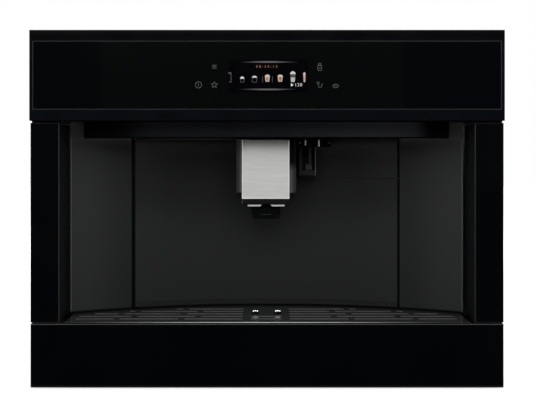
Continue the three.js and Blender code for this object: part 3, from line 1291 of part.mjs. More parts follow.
// Rocker with two faces that meet at its middle, tilted to its off position.
function makeRocker() {
  const reach = INLET_HEIGHT / 2 - INLET_RIM - ROCKER_REACH_GAP;
  const tilt = THREE.MathUtils.degToRad(SWITCH_TILT);
  const valley = ROCKER_RISE - reach * Math.tan(tilt);
  const shape = outline([
    [-ROCKER_BACK, -reach],
    [ROCKER_RISE, -reach],
    [valley, 0],
    [ROCKER_RISE, reach],
    [-ROCKER_BACK, reach],
  ]);
  const rocker = sideward(shape, switchX - ROCKER_HALF, switchX + ROCKER_HALF);
  rocker.rotateX(tilt);
  rocker.translate(0, behind(chassisBack) - ROCKER_SUNK, INLET_Z);
  piece('main_switch_rocker', rocker, greyPlastic);
}

makeFascia();
makePillars();
makeNicheWalls();
makeLedge();
makeDoor();
makeSpout();
makeConnector();
makeTray();
makeChassis();
makeRunners();
makeContainers();
makeBrewUnit();
makeGrinder();
makeServices();
makeRocker();

export default model;
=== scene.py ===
# Built-in coffee machine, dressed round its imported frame.
# +Z up, the front looks along -Y and +X is right when seen from the front.
# Camera and studio are in metres. Drawings, sizes and places on the machine are in millimetres, and spot()
# and the few lines with MM turn them into metres.
import math
import bmesh
import bpy
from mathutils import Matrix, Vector


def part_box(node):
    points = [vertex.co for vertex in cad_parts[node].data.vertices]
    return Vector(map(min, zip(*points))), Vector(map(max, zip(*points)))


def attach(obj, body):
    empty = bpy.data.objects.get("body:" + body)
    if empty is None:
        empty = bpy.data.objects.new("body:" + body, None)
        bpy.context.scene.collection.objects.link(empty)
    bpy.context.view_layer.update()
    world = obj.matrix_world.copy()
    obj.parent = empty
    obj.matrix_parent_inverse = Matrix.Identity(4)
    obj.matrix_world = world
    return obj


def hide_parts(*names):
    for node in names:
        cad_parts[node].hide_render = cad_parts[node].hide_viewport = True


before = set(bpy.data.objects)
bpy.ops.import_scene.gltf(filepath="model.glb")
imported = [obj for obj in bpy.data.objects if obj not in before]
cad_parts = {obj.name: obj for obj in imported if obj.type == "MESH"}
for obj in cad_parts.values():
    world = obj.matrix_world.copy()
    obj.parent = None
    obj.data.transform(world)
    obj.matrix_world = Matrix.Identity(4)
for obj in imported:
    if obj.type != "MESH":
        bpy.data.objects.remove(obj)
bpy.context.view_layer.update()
MM = 0.001


def linked(name, data):
    """A new object in the scene."""
    made = bpy.data.objects.new(name, data)
    bpy.context.scene.collection.objects.link(made)
    return made


# ---------------------------------------------------------------- camera
EYE = (0.0012, -1.431, 0.2922)
FRAME_PX = 536  # width of the photograph
FOCAL_PX = 954.3
EYE_LINE_PX = 53  # eye level above the middle of the picture
SENSOR_MM = 36


def make_camera():
    data = bpy.data.cameras.new("eye")
    data.sensor_width = SENSOR_MM
    data.lens = SENSOR_MM * FOCAL_PX / FRAME_PX
    data.shift_y = -EYE_LINE_PX / FRAME_PX
    camera = linked("eye", data)
    camera.location = EYE
    camera.rotation_euler = (math.pi / 2, 0, 0)
    bpy.context.scene.camera = camera


# ---------------------------------------------------------------- node trees
WHITE = (1, 1, 1, 1)
NOISE_RANGE = (0.3, 0.7)  # the part of a noise's values that is spread over a finish


def new_tree(name):
    material = bpy.data.materials.new(name)
    material.use_nodes = True
    material.node_tree.nodes.clear()
    return material, material.node_tree


def add(tree, kind, inputs=None, **settings):
    """Adds a node, sets it up, and fills its inputs with values or with other nodes' outputs."""
    made = tree.nodes.new(kind)
    for name, value in settings.items():
        setattr(made, name, value)
    for name, value in (inputs or {}).items():
        if isinstance(value, bpy.types.NodeSocket):
            tree.links.new(value, made.inputs[name])
        else:
            made.inputs[name].default_value = value
    return made


def maths(tree, operation, *values):
    return add(tree, "ShaderNodeMath", dict(enumerate(values)), operation=operation).outputs[0]


def ranged(tree, value, start, end, low=0.0, high=1.0, smooth=False):
    """A value moved from one range to another and held at its ends."""
    return add(tree, "ShaderNodeMapRange", {
        "Value": value, "From Min": start, "From Max": end, "To Min": low, "To Max": high,
    }, interpolation_type="SMOOTHSTEP" if smooth else "LINEAR").outputs["Result"]


def mixed(tree, share, first, second):
    return add(tree, "ShaderNodeMix", {"Factor": share, "A": first, "B": second}).outputs["Result"]


def blend(tree, share, first, second):
    """A mix of two colours."""
    return add(tree, "ShaderNodeMix", {"Factor": share, 6: first, 7: second}, data_type="RGBA").outputs[2]


def on_object(tree):
    return add(tree, "ShaderNodeTexCoord").outputs["Object"]


def part_of(tree, place, axis):
    return add(tree, "ShaderNodeSeparateXYZ", {"Vector": place}).outputs[axis]


def noise(tree, place, grain, detail):
    """Noise with one scale, or with a scale for each axis."""
    scale = grain if isinstance(grain, tuple) else (grain,) * 3
    scaled = add(tree, "ShaderNodeMapping", {"Vector": place, "Scale": scale}).outputs[0]
    return add(tree, "ShaderNodeTexNoise", {"Vector": scaled, "Scale": 1.0, "Detail": detail}).outputs["Fac"]


def bump(tree, height, strength, depth):
    inputs = {"Height": height, "Strength": strength, "Distance": depth * MM}
    return add(tree, "ShaderNodeBump", inputs).outputs[0]


def surfaced(material, tree, inputs):
    """Ends a material in one principled surface."""
    surface = add(tree, "ShaderNodeBsdfPrincipled", inputs)
    add(tree, "ShaderNodeOutputMaterial", {"Surface": surface.outputs[0]})
    return material


def linear(level):
    """A display level from 0 to 255 as a linear value."""
    share = level / 255
    return share / 12.92 if share <= 0.04045 else ((share + 0.055) / 1.055) ** 2.4


def tone(level):
    """A colour from three display levels, or a grey from one."""
    levels = level if isinstance(level, tuple) else (level,) * 3
    return (*map(linear, levels), 1.0)


# ---------------------------------------------------------------- studio
FLOOR_HALF = 8.0
FLOOR_DROP = 0.0004
FLOOR_TONE = 236
FLOOR_GLOW = 0.52  # makes the lit floor white for the camera and keeps the shadow
FLOOR_DIM = 0.02  # the floor before the object, as the front glass mirrors it
FRONT_START = -0.232
FRONT_END = -0.25
GLOW_NEAR = 0.75  # the floor turns into the white background between these radii
GLOW_FAR = 1.9
AMBIENT = 0.22
FRONT_DIM = 0.05  # what mirrors the front of the studio sees
SIDEWAYS = 0.25  # the mirrored studio turns from front to rear between this heading and its opposite


def make_world():
    world = bpy.data.worlds.new("studio")
    bpy.context.scene.world = world
    world.use_nodes = True
    tree = world.node_tree
    tree.nodes.clear()
    rays = add(tree, "ShaderNodeLightPath").outputs
    heading = add(tree, "ShaderNodeTexCoord").outputs["Generated"]
    behind = ranged(tree, part_of(tree, heading, "Y"), -SIDEWAYS, SIDEWAYS)
    mirrored = maths(tree, "MULTIPLY", rays["Is Glossy Ray"], behind)
    through = maths(tree, "MAXIMUM", rays["Is Camera Ray"], rays["Is Transmission Ray"])
    seen = maths(tree, "MAXIMUM", through, mirrored)
    hidden = ranged(tree, rays["Is Glossy Ray"], 0.0, 1.0, AMBIENT, FRONT_DIM)
    sky = add(tree, "ShaderNodeBackground", {"Color": WHITE, "Strength": mixed(tree, seen, hidden, 1.0)})
    add(tree, "ShaderNodeOutputWorld", {"Surface": sky.outputs[0]})


def make_floor():
    mesh = bpy.data.meshes.new("floor")
    corners = [(-1, -1), (1, -1), (1, 1), (-1, 1)]
    mesh.from_pydata([(x * FLOOR_HALF, y * FLOOR_HALF, -FLOOR_DROP) for x, y in corners], [], [(0, 1, 2, 3)])
    material, tree = new_tree("pale_floor")
    place = on_object(tree)
    radius = add(tree, "ShaderNodeVectorMath", {0: place}, operation="LENGTH").outputs["Value"]
    far = ranged(tree, radius, GLOW_NEAR, GLOW_FAR, smooth=True)
    rays = add(tree, "ShaderNodeLightPath").outputs
    direct = maths(tree, "MAXIMUM", rays["Is Camera Ray"], rays["Is Transmission Ray"])
    seen = maths(tree, "MAXIMUM", direct, rays["Is Glossy Ray"])
    glow = maths(tree, "MULTIPLY", seen, ranged(tree, far, 0.0, 1.0, FLOOR_GLOW, 1.0))
    paint = add(tree, "ShaderNodeBsdfDiffuse", {"Color": tone(FLOOR_TONE)})
    light = add(tree, "ShaderNodeEmission", {"Color": WHITE, "Strength": glow})
    both = add(tree, "ShaderNodeAddShader", {0: paint.outputs[0], 1: light.outputs[0]})
    front = ranged(tree, part_of(tree, place, "Y"), FRONT_START, FRONT_END)
    mirrored = maths(tree, "MULTIPLY", rays["Is Glossy Ray"], front)
    dim = add(tree, "ShaderNodeEmission", {"Color": WHITE, "Strength": FLOOR_DIM})
    shown = add(tree, "ShaderNodeMixShader", {0: mirrored, 1: both.outputs[0], 2: dim.outputs[0]})
    add(tree, "ShaderNodeOutputMaterial", {"Surface": shown.outputs[0]})
    mesh.materials.append(material)
    floor = linked("floor", mesh)


def softbox(name, place, aim, width, height, power):
    data = bpy.data.lights.new(name, "AREA")
    data.shape = "RECTANGLE"
    data.size = width
    data.size_y = height
    data.energy = power
    lamp = linked(name, data)
    lamp.location = place
    lamp.rotation_euler = (Vector(aim) - Vector(place)).to_track_quat("-Z", "Y").to_euler()


def make_lights():
    middle = (0, -0.1, 0.25)
    softbox("front_above", (0, -2.2, 1.5), middle, 2.6, 1.6, 36)
    softbox("left_side", (-1.9, -1.0, 0.5), middle, 0.9, 1.4, 17)
    softbox("right_side", (1.9, -1.0, 0.5), middle, 0.9, 1.4, 17)
    softbox("rear_above", (0, 1.5, 1.9), (0, 0.1, 0.3), 2.4, 1.2, 34)


# ---------------------------------------------------------------- finishes
FINISHES = {}  # each finish with the name of a slot
RELIEF_DEPTH = 0.05
TOUCH_MIDDLE = -18.5  # the clearer zone of the fascia glass, and where it begins to end and ends
TOUCH_HALF = (186, 192)


def coat(key, name, slot, dark, light, rough, grain, relief=0.0, tints=(), dull=None, **shader):
    """A surface with two tones, uneven gloss and a fine relief, all from one grain.

    The slot is kept with the finish but is not used. Each tint is a colour and a
    function that makes its share from the place on the object.
    """
    material, tree = new_tree(name)
    place = on_object(tree)
    spread = noise(tree, place, grain, 3.0)
    colour = blend(tree, ranged(tree, spread, *NOISE_RANGE), tone(dark), tone(light))
    inputs = {
        "Base Color": tinted(tree, place, colour, tints),
        "Roughness": ranged(tree, spread, *NOISE_RANGE, *rough),
        **shader,
    }
    if dull is not None:
        inputs["Specular IOR Level"] = dull
    if relief:
        inputs["Normal"] = bump(tree, spread, relief, RELIEF_DEPTH)
    FINISHES[key] = (surfaced(material, tree, inputs), slot)


# Most tints paint light or shade into a finish's colour.
def tinted(tree, place, colour, tints):
    for tint, fade in tints:
        colour = blend(tree, fade(tree, place), colour, tone(tint))
    return colour


def between(axis, start, end, middle=None):
    """A share that grows along an axis from start to end, or outwards on both sides of a middle."""
    def fade(tree, place):
        along = part_of(tree, place, axis)
        if middle is not None:
            along = maths(tree, "ABSOLUTE", maths(tree, "SUBTRACT", along, middle * MM))
        return ranged(tree, along, start * MM, end * MM, smooth=True)
    return fade


def both_of(first, second):
    """The product of two shares."""
    return lambda tree, place: maths(tree, "MULTIPLY", first(tree, place), second(tree, place))


def lit(key, low, high, tints=(), slot="display"):
    """A lit symbol of the display, a little uneven as a backlight is."""
    material, tree = new_tree(f"lit_{key}")
    place = on_object(tree)
    colour = blend(tree, noise(tree, place, 420, 1.0), tone(low), tone(high))
    surface = surfaced(material, tree, {
        "Base Color": tone(6), "Roughness": 0.4, "Specular IOR Level": 0.1,
        "Emission Color": tinted(tree, place, colour, tints), "Emission Strength": 1.0,
    })
    FINISHES[key] = (surface, slot)


def fascia_window(name):
    """Black glass that is clear enough over the touch field to show a slightly lighter zone."""
    material, tree = new_tree(name)
    place = on_object(tree)
    away = maths(tree, "ABSOLUTE", maths(tree, "SUBTRACT", part_of(tree, place, "X"), TOUCH_MIDDLE * MM))
    zone = ranged(tree, away, TOUCH_HALF[0] * MM, TOUCH_HALF[1] * MM, 1.0, 0.0)
    return surfaced(material, tree, {
        "Base Color": blend(tree, zone, tone((3, 4, 6)), tone((5, 7, 7))),
        "Roughness": ranged(tree, noise(tree, place, 9, 4.0), *NOISE_RANGE, 0.05, 0.1),
        "IOR": 1.5, "Specular IOR Level": 0.1,
    })


def brushed(name):
    """Steel brushed across its width, darkened at its top by painted shade of the ledge above it."""
    material, tree = new_tree(name)
    place = on_object(tree)
    fine = noise(tree, place, (22, 22, 4200), 4.0)
    both = mixed(tree, 0.35, fine, noise(tree, place, (30, 30, 260), 2.0))
    colour = blend(tree, ranged(tree, both, *NOISE_RANGE), tone((206, 206, 204)), tone((226, 226, 224)))
    # Painted shade: the ledge's shadow darkens the steel towards its top.
    ledge_shade = between("Z", 282, 318)
    return surfaced(material, tree, {
        "Base Color": tinted(tree, place, colour, [(106, both_of(ledge_shade, ledge_shade))]), "Metallic": 0.45,
        "Roughness": ranged(tree, both, *NOISE_RANGE, 0.42, 0.34), "Anisotropic": 0.75,
        "Normal": bump(tree, fine, 0.25, 0.02),
        "Tangent": add(tree, "ShaderNodeTangent", direction_type="RADIAL", axis="Z").outputs[0],
    })


def make_finishes():
    FINISHES["fascia"] = (fascia_window("fascia_glass_window"), "black_glass")
    FINISHES["steel"] = (brushed("brushed_steel"), "steel")
    black = (2, 3, 5)
    ledge_end_shade = (2, 3, 6)
    satin = (0.42, 0.55)
    half_matt = (0.4, 0.5)
    edge_matt = (0.3, 0.45)
    fine_matt = (0.3, 0.4)
    upright = (120, 120, 12)  # grains drawn out along Z
    rolled = (400, 400, 60)
    # Painted shadow darkens the foot of the side walls and their beads.
    foot_shadow = (black, between("Z", 87, 84.6))
    # Painted shade of the ledge over the upper half of the door.
    upper_shade = both_of(between("Z", 195, 245), between("Z", 300, 272))
    shade = (black, both_of(between("Z", 271, 285), between("X", 20, 30)))

    coat("glass", "black_glass", "black_glass", black, (3, 5, 7), (0.04, 0.09), 8, dull=0.2)
    coat("ground_edge", "ground_glass_edge", "black_glass", 30, 38, edge_matt, 60, dull=0.2)
    # The top edge's lighter tone is a painted highlight, a lit copy of the ground edge.
    coat("lit_edge", "glass_top_edge_painted_highlight", "black_glass", 60, 68, edge_matt, 60, dull=0.2)
    # The tint is painted shade that darkens the top strip of the fascia frame.
    coat("gloss", "gloss_black", "gloss_black", (7, 8, 12), (10, 11, 15), (0.1, 0.15), 25, 0.0, [
        ((1, 1, 2), between("Z", 432, 447)),
    ], dull=0.06)
    coat("lid_black", "lid_black", "gloss_black", 14, 18, (0.2, 0.3), 30, 0.05, dull=0.4)
    # Painted reflection lightens the ledge towards its right, and painted shade darkens both its ends.
    coat("ledge", "ledge_end_shade", "gloss_black", (18, 19, 21), (21, 22, 24), half_matt, 25, 0.05, [
        ((33, 34, 36), between("X", -20, 170)),
        (ledge_end_shade, between("X", -146, -196)), (ledge_end_shade, between("X", 186, 214)),
    ], dull=0.05)
    # Painted shade darkens the upper half and the strip right under the ledge; painted light brightens the
    # band between them.
    coat("wall", "satin_wall", "wall_plastic", (31, 32, 32), (35, 36, 36), satin, 900, 0.15, [
        ((28, 29, 29), upper_shade), ((43, 44, 44), between("Z", 284, 304)), (24, between("Z", 306, 315)),
    ], dull=0.15)
    # Painted light brightens the side walls towards their outer edges and their tops.
    coat("side_wall", "satin_side_wall", "wall_plastic", (27, 28, 28), (31, 32, 32), satin, 900, 0.15, [
        ((41, 42, 42), between("X", 188, 258, 0)), ((70, 71, 71), between("Z", 306, 328)), foot_shadow,
    ], dull=0.15)
    # The bead's light tone is a painted highlight on the side wall's front edge.
    coat("wall_bead", "wall_bead_painted_highlight", "wall_plastic", 62, 71, fine_matt, 300, 0.1, [foot_shadow], dull=0.3)
    # The tint is painted shade that darkens the return towards the back.
    coat("return", "satin_return", "wall_plastic", (15, 16, 18), (18, 19, 21), half_matt, 600, 0.15, [
        (black, between("Y", -200, -184)),
    ], dull=0.1)
    coat("black", "satin_black", "black_plastic", (16, 17, 18), (20, 21, 22), half_matt, 700, 0.15, dull=0.2)
    coat(
        "spout_black", "spout_black", "black_plastic", (11, 12, 12), (14, 15, 15), half_matt,
        700, 0.1, dull=0.1,
    )
    # Painted light brightens the rail beside the steel cover; the shade tint is painted shadow on its upper
    # right.
    coat("guide", "satin_guide", "black_plastic", (38, 39, 38), (44, 45, 44), half_matt, upright, 0.1, [
        ((94, 94, 92), between("X", 37, 31.6, -1.2)), shade,
    ], dull=0.06)
    coat("flange", "cover_flange", "steel", 72, 80, half_matt, upright, 0.1, [shade], dull=0.1)
    # Deep black colours black parts, and also strips of painted shade in gaps, seams and under the sill.
    coat("deep_black", "deep_black", "wall_plastic", (2, 3, 4), (5, 6, 7), half_matt, 300, 0.05, dull=0.05)
    coat("shadow", "shadow_gap_black", "gloss_black", (3, 4, 5), (5, 6, 7), (0.5, 0.6), 300, 0.05, dull=0.0)
    coat("sill", "satin_sill", "wall_plastic", (25, 26, 26), (29, 30, 30), satin, 900, 0.15, dull=0.15)
    coat(
        "grille", "coated_grille", "grille_black", (43, 45, 45), (48, 49, 49),
        (0.14, 0.2), 1400, 0.1, dull=0.35,
    )
    # The rims' light tone is a painted highlight where the slot edges catch light.
    coat("slot_rim", "slot_rim_painted_highlight", "grille_black", 58, 72, fine_matt, (40, 90, 90), 0.05, dull=0.2)
    # The lip's bright tone is a painted highlight, dimmed towards both ends.
    coat("lip", "lip_painted_highlight", "grille_black", 192, 198, fine_matt, (40, 400, 400), 0.05, [
        (44, between("X", 0, 240, -8)),
    ], dull=0.2)
    # The rolled edge's lighter, less metallic tone is a painted highlight on the cover's edges.
    coat("rolled_edge", "rolled_steel_edge_painted_highlight", "steel", 230, 240, fine_matt, rolled, 0.05, Metallic=0.3)
    coat("chrome", "bright_plating", "chrome", 216, 228, (0.06, 0.14), 120, 0.02, Metallic=1.0)
    coat(
        "zinc", "zinc_sheet", "zinc_sheet", (162, 165, 168), (174, 177, 180),
        (0.42, 0.5), 150, 0.04, Metallic=0.7,
    )
    coat("strip", "bright_strip", "chrome", 188, 198, fine_matt, 300, 0.02, Metallic=0.3)
    coat("pin", "connector_pin", "chrome", 204, 216, (0.25, 0.35), 120, 0.02, Metallic=0.6)
    coat(
        "cast", "cast_alloy", "cast_alloy", (128, 130, 132), (150, 152, 155),
        (0.4, 0.6), 500, 0.35, Metallic=0.9,
    )
    coat("grey", "grey_moulding", "grey_plastic", (58, 60, 62), (66, 68, 70), (0.4, 0.55), 800, 0.15)
    coat("lever", "lever_grey", "grey_plastic", (30, 31, 32), (36, 37, 38), half_matt, 500, 0.1, dull=0.2)
    coat("tip", "connector_tip", "grey_plastic", (38, 39, 40), (44, 45, 46), half_matt, 500, 0.1, dull=0.2)
    # The rim's light tone is a painted highlight on the housing's edge.
    coat("housing_rim_highlight", "housing_rim_highlight", "black_plastic", 70, 80, half_matt, 500, 0.1, dull=0.2)
    coat(
        "clear", "clear_smoked", "clear_plastic", (176, 188, 194), (190, 200, 206), (0.05, 0.1), 40,
        **{"Transmission Weight": 0.9, "IOR": 1.49},
    )
    coat("tube", "heat_tube", "pipe_white", (206, 206, 202), (220, 220, 216), half_matt, 200, 0.05)
    coat("opal", "opal_lens", "lamp_lens", (96, 95, 92), (110, 109, 106), fine_matt, 90, 0.05)
    coat("board", "circuit_board", "board", (26, 84, 52), (34, 98, 62), (0.35, 0.5), 260, 0.2)
    coat("display", "display_window", "display", (1, 1, 3), (3, 3, 6), (0.05, 0.1), 60, dull=0.2)

    lit("printed", (64, 66, 68), (86, 88, 90), slot="black_glass")
    lit("white", (206, 206, 204), (238, 238, 236))
    lit("foam", (182, 188, 180), (212, 214, 206))
    lit("outline", (58, 60, 62), (84, 86, 88))
    lit("latte", (176, 152, 138), (206, 184, 170))
    lit("coffee", (142, 88, 56), (170, 112, 76))
    lit("bean", (76, 66, 54), (96, 84, 70))
    lit("milk", (158, 168, 168), (184, 192, 192))
    lit("label", (128, 84, 56), (160, 110, 76))
    lit("glow_line", (78, 78, 80), (98, 98, 100), [(14, between("X", 2, 38, DISPLAY_CENTRE[0]))])


# ---------------------------------------------------------------- making pieces
SMOOTH_ANGLE = math.radians(38)  # a sharper edge stays an edge
SOFTEN_ANGLE = math.radians(35)  # a sharper outer edge is rounded
FLAT_ANGLE = math.radians(0.3)  # faces that differ by less become one
MERGE = 0.001  # points this near are one
CAD_MERGE = 0.002
SIDES = ((-1, "left"), (1, "right"))
AXES = {"x": (1, 2, 0), "y": (0, 2, 1), "z": (0, 1, 2)}


def box(node):
    """The low and the high corner of a CAD node."""
    return [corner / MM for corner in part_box(node)]


def baked(holder):
    """The object's mesh with its modifiers worked in. The object itself goes."""
    graph = bpy.context.evaluated_depsgraph_get()
    graph.update()
    ready = bpy.data.meshes.new_from_object(holder.evaluated_get(graph))
    holder.modifiers.clear()
    bpy.data.objects.remove(holder)
    return ready


def place_piece(name, bm, finish, body="machine", slot=None, replaced=None):
    """A finished piece with smooth curved faces and even flat ones."""
    material, usual_slot = FINISHES[finish]
    mesh = bpy.data.meshes.new(name)
    bm.to_mesh(mesh)
    bm.free()
    mesh.shade_smooth()
    mesh.set_sharp_from_angle(angle=SMOOTH_ANGLE)
    mesh.materials.append(material)
    holder = linked(name + "_raw", mesh)
    holder.modifiers.new("weighted", "WEIGHTED_NORMAL").keep_sharp = True
    mesh = baked(holder)
    piece = linked(name, mesh)
    mesh.name = name
    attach(piece, body)
    if replaced:
        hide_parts(replaced)


def soften(bm, width, segments):
    """Rounds the outer edges."""
    edges = [
        e for e in bm.edges
        if len(e.link_faces) == 2 and e.is_convex and e.calc_face_angle() > SOFTEN_ANGLE
    ]
    if edges and width:
        bmesh.ops.bevel(
            bm, geom=edges, offset=width * MM, offset_type="OFFSET",
            segments=segments, profile=0.5, affect="EDGES", clamp_overlap=False,
        )


def dressed(node, finish, width=0.4, segments=2, body="machine", slot=None):
    """A CAD node's own shape with rounded edges and smooth curves, in its place."""
    bm = bmesh.new()
    bm.from_mesh(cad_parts[node].data)
    bmesh.ops.remove_doubles(bm, verts=bm.verts, dist=CAD_MERGE * MM)
    bmesh.ops.dissolve_limit(bm, angle_limit=FLAT_ANGLE, verts=bm.verts, edges=bm.edges)
    soften(bm, width, segments)
    bmesh.ops.triangulate(bm, faces=[f for f in bm.faces if len(f.verts) > 4])
    place_piece(f"{node}_dressed", bm, finish, body, slot, node)


def solid_piece(name, finish, *parts, body="machine", slot=None, replaced=None, width=0.0, segments=2):
    """A piece of one or more parts, such as prisms or turned forms, with its outer edges rounded."""
    bm = bmesh.new()
    for part in parts:
        part(bm)
    bmesh.ops.remove_doubles(bm, verts=bm.verts, dist=MERGE * MM)
    bmesh.ops.recalc_face_normals(bm, faces=bm.faces)
    soften(bm, width, segments)
    place_piece(name, bm, finish, body, slot, replaced)


# ---------------------------------------------------------------- parts and their outlines
def spot(axis, u, v, w):
    """A point in metres from its place in a drawing and its depth along the axis."""
    point = [0.0, 0.0, 0.0]
    for index, value in zip(AXES[axis], (u, v, w)):
        point[index] = value * MM
    return point


def neighbours(count):
    """Each place in a closed row with the next one."""
    return [(i, (i + 1) % count) for i in range(count)]


def prism(outline, low, high, axis="z"):
    """A closed drawing drawn out along an axis."""
    def part(bm):
        near, far = ([bm.verts.new(spot(axis, u, v, w)) for u, v in outline] for w in (low, high))
        bm.faces.new(near)
        bm.faces.new(reversed(far))
        for i, j in neighbours(len(outline)):
            bm.faces.new((near[i], far[i], far[j], near[j]))
    return part


def hollow_prism(outer, inner, front, back):
    """An upright band between two front drawings with as many points each."""
    def part(bm):
        sets = [
            [bm.verts.new(spot("y", u, v, w)) for u, v in outline]
            for outline in (outer, inner) for w in (front, back)
        ]
        for i, j in neighbours(len(outer)):
            for a, b in ((0, 1), (1, 3), (3, 2), (2, 0)):
                bm.faces.new((sets[a][i], sets[b][i], sets[b][j], sets[a][j]))
    return part


def lathe(profile, x, y, steps=40):
    """An upright turned form from points of radius and height; the first and last lie on the axis."""
    def part(bm):
        rings = []
        for radius, z in profile:
            ring = arc(x, y, radius, 0, math.tau, steps)[:-1] if radius else [(x, y)]
            rings.append([bm.verts.new(spot("z", px, py, z)) for px, py in ring])
        for low, high in zip(rings, rings[1:]):
            for i, j in neighbours(steps):
                corners = [low[i % len(low)], low[j % len(low)], high[j % len(high)], high[i % len(high)]]
                bm.faces.new(list(dict.fromkeys(corners)))
    return part


def cuboid(x0, x1, y0, y1, z0, z1):
    return prism(rectangle(x0, x1, y0, y1), z0, z1)


def steps_from(start, end, count):
    return [start + (end - start) * i / count for i in range(count + 1)]


def rectangle(u0, u1, v0, v1):
    return [(u0, v0), (u1, v0), (u1, v1), (u0, v1)]


def arc(cu, cv, radius, start, end, steps):
    return [(cu + radius * math.cos(t), cv + radius * math.sin(t)) for t in steps_from(start, end, steps)]


def rounded(u0, u1, v0, v1, radius, steps=5):
    quarter = math.pi / 2
    points = []
    for u, v, turn in [(u1, v0, -1), (u1, v1, 0), (u0, v1, 1), (u0, v0, 2)]:
        cu = u - radius if u == u1 else u + radius
        cv = v - radius if v == v1 else v + radius
        points += arc(cu, cv, radius, turn * quarter, (turn + 1) * quarter, steps)
    return points


def front_corners(low, high, bend, radius, steps):
    """Plan arcs at a box's left and right front corner, round centres that lie a bend inside it."""
    left = arc(low.x + bend, low.y + bend, radius, math.pi, 1.5 * math.pi, steps)
    right = arc(high.x - bend, low.y + bend, radius, 1.5 * math.pi, 2 * math.pi, steps)
    return left, right


def front_view(low, high, margin=0.0):
    """The front rectangle of a box, larger by a margin."""
    return rectangle(low.x - margin, high.x + margin, low.z - margin, high.z + margin)


# ---------------------------------------------------------------- glass panels
EDGE_WIDTH = 0.6
SHADE_BACK = -190  # the fascia's shadow line reaches back to here in the niche
JOINT_REACH = 0.38  # the joint line round the fascia glass
JOINT_LAP = 0.1


def glass_panel(node, finish="glass", body="machine"):
    """A glass slab with a ground edge round it."""
    low, high = box(node)
    whole, inner = front_view(low, high), front_view(low, high, -EDGE_WIDTH)
    slab = prism(inner, low.y, high.y, "y")
    solid_piece(f"{node}_slab", finish, slab, body=body, replaced=node, width=0.15)
    edge = hollow_prism(whole, inner, low.y + 0.1, high.y)
    solid_piece(f"{node}_edge", "ground_edge", edge, body=body, replaced=node, width=0.12, segments=1)
    return low, high


def make_fascia():
    dressed("fascia_frame", "gloss", 0.3)
    low, high = box("fascia_frame")
    x0, x1, front, back = low.x + 0.4, high.x - 0.4, low.y + 0.05, high.y - 0.2
    shade = [
        (x0, front), (x1, front), (x1, back), (NICHE_HALF, back), (NICHE_HALF, SHADE_BACK),
        (-NICHE_HALF, SHADE_BACK), (-NICHE_HALF, back), (x0, back),
    ]
    # A black strip paints the shadow line under the fascia and back into the niche.
    solid_piece("fascia_underside_shadow", "shadow", prism(shade, low.z - 0.25, low.z + 0.3))
    low, high = glass_panel("fascia_glass", "fascia")
    outer, inner = front_view(low, high, JOINT_REACH), front_view(low, high, -JOINT_LAP)
    solid_piece("fascia_glass_joint", "ground_edge", hollow_prism(outer, inner, low.y - 0.27, low.y + 0.2))


def make_tray_front():
    low, high = glass_panel("tray_front_glass", body="drip_tray")
    # The top edge is a lighter copy of the ground edge, a painted highlight where light falls on it.
    edge = cuboid(low.x, high.x, low.y - 0.05, high.y - 0.2, high.z - 1.1, high.z + 0.05)
    solid_piece("tray_front_glass_top_edge", "lit_edge", edge, body="drip_tray", width=0.2)
    shade = cuboid(low.x + 0.3, high.x - 0.3, low.y + 0.25, high.y, high.z, high.z + 0.15)
    solid_piece("tray_front_glass_shade", "shadow", shade, body="drip_tray", slot="black_glass")


def make_panels():
    make_fascia()
    glass_panel("left_pillar_glass")
    glass_panel("right_pillar_glass")
    make_tray_front()
    for side, word in SIDES:
        dressed(f"{word}_pillar_carrier", "return", 0.3)
        low, high = box(f"{word}_pillar_glass")
        x = (high.x if side < 0 else low.x) - side * 0.1
        trim = cuboid(x - 0.5, x + 0.5, low.y + 0.2, high.y + 0.2, low.z, high.z)
        solid_piece(f"{word}_pillar_trim", "ground_edge", trim, width=0.15)
        # Black strips behind the gaps above and below the glass paint the shade in them.
        gaps = [
            cuboid(low.x + 0.8, high.x - 0.8, high.y + 0.1, high.y + 1.6, *ends)
            for ends in ((low.z - 3.2, low.z + 1), (high.z - 1, high.z + 2.6))
        ]
        solid_piece(f"{word}_pillar_gap_shade", "deep_black", *gaps)


# ---------------------------------------------------------------- drawings on the fascia glass
PRINT_T = 0.04
STROKE = 0.75
CAPITAL = 0.7  # height of a digit as a share of the letter size


def flat_piece(name, finish, outlines, layer=1):
    """Flat closed drawings on the face of the fascia glass, one print thickness proud for each layer."""
    face = box("fascia_glass")[0].y
    depth = (face - layer * PRINT_T, face + PRINT_T)
    bm = bmesh.new()
    for outline in outlines:
        part = hollow_prism(*outline, *depth) if isinstance(outline, tuple) else prism(outline, *depth, "y")
        part(bm)
    bmesh.ops.recalc_face_normals(bm, faces=bm.faces)
    place_piece(name, bm, finish)


def digits(name, finish, text, centre, height, spacing):
    """Digits on the glass, made a mesh before they are placed."""
    curve = bpy.data.curves.new(name, "FONT")
    curve.body = text
    curve.size = height * MM / CAPITAL
    curve.space_character = spacing
    curve.extrude = PRINT_T * MM / 2
    curve.align_x = "CENTER"
    curve.align_y = "CENTER"
    mesh = baked(linked(name + "_raw", curve))
    middle = (max(v.co.x for v in mesh.vertices) + min(v.co.x for v in mesh.vertices)) / 2
    origin = spot("y", *centre, box("fascia_glass")[0].y - 2 * PRINT_T)
    for vertex in mesh.vertices:
        u, v, w = vertex.co
        vertex.co = (origin[0] + u - middle, origin[1] - w, origin[2] + v)
    solid_piece(name, finish, lambda bm: bm.from_mesh(mesh), slot="display")


def moved(outline, du, dv):
    """A drawing, or the pair of drawings of a closed stroke, in another place."""
    if isinstance(outline, tuple):
        return tuple(moved(half, du, dv) for half in outline)
    return [(u + du, v + dv) for u, v in outline]


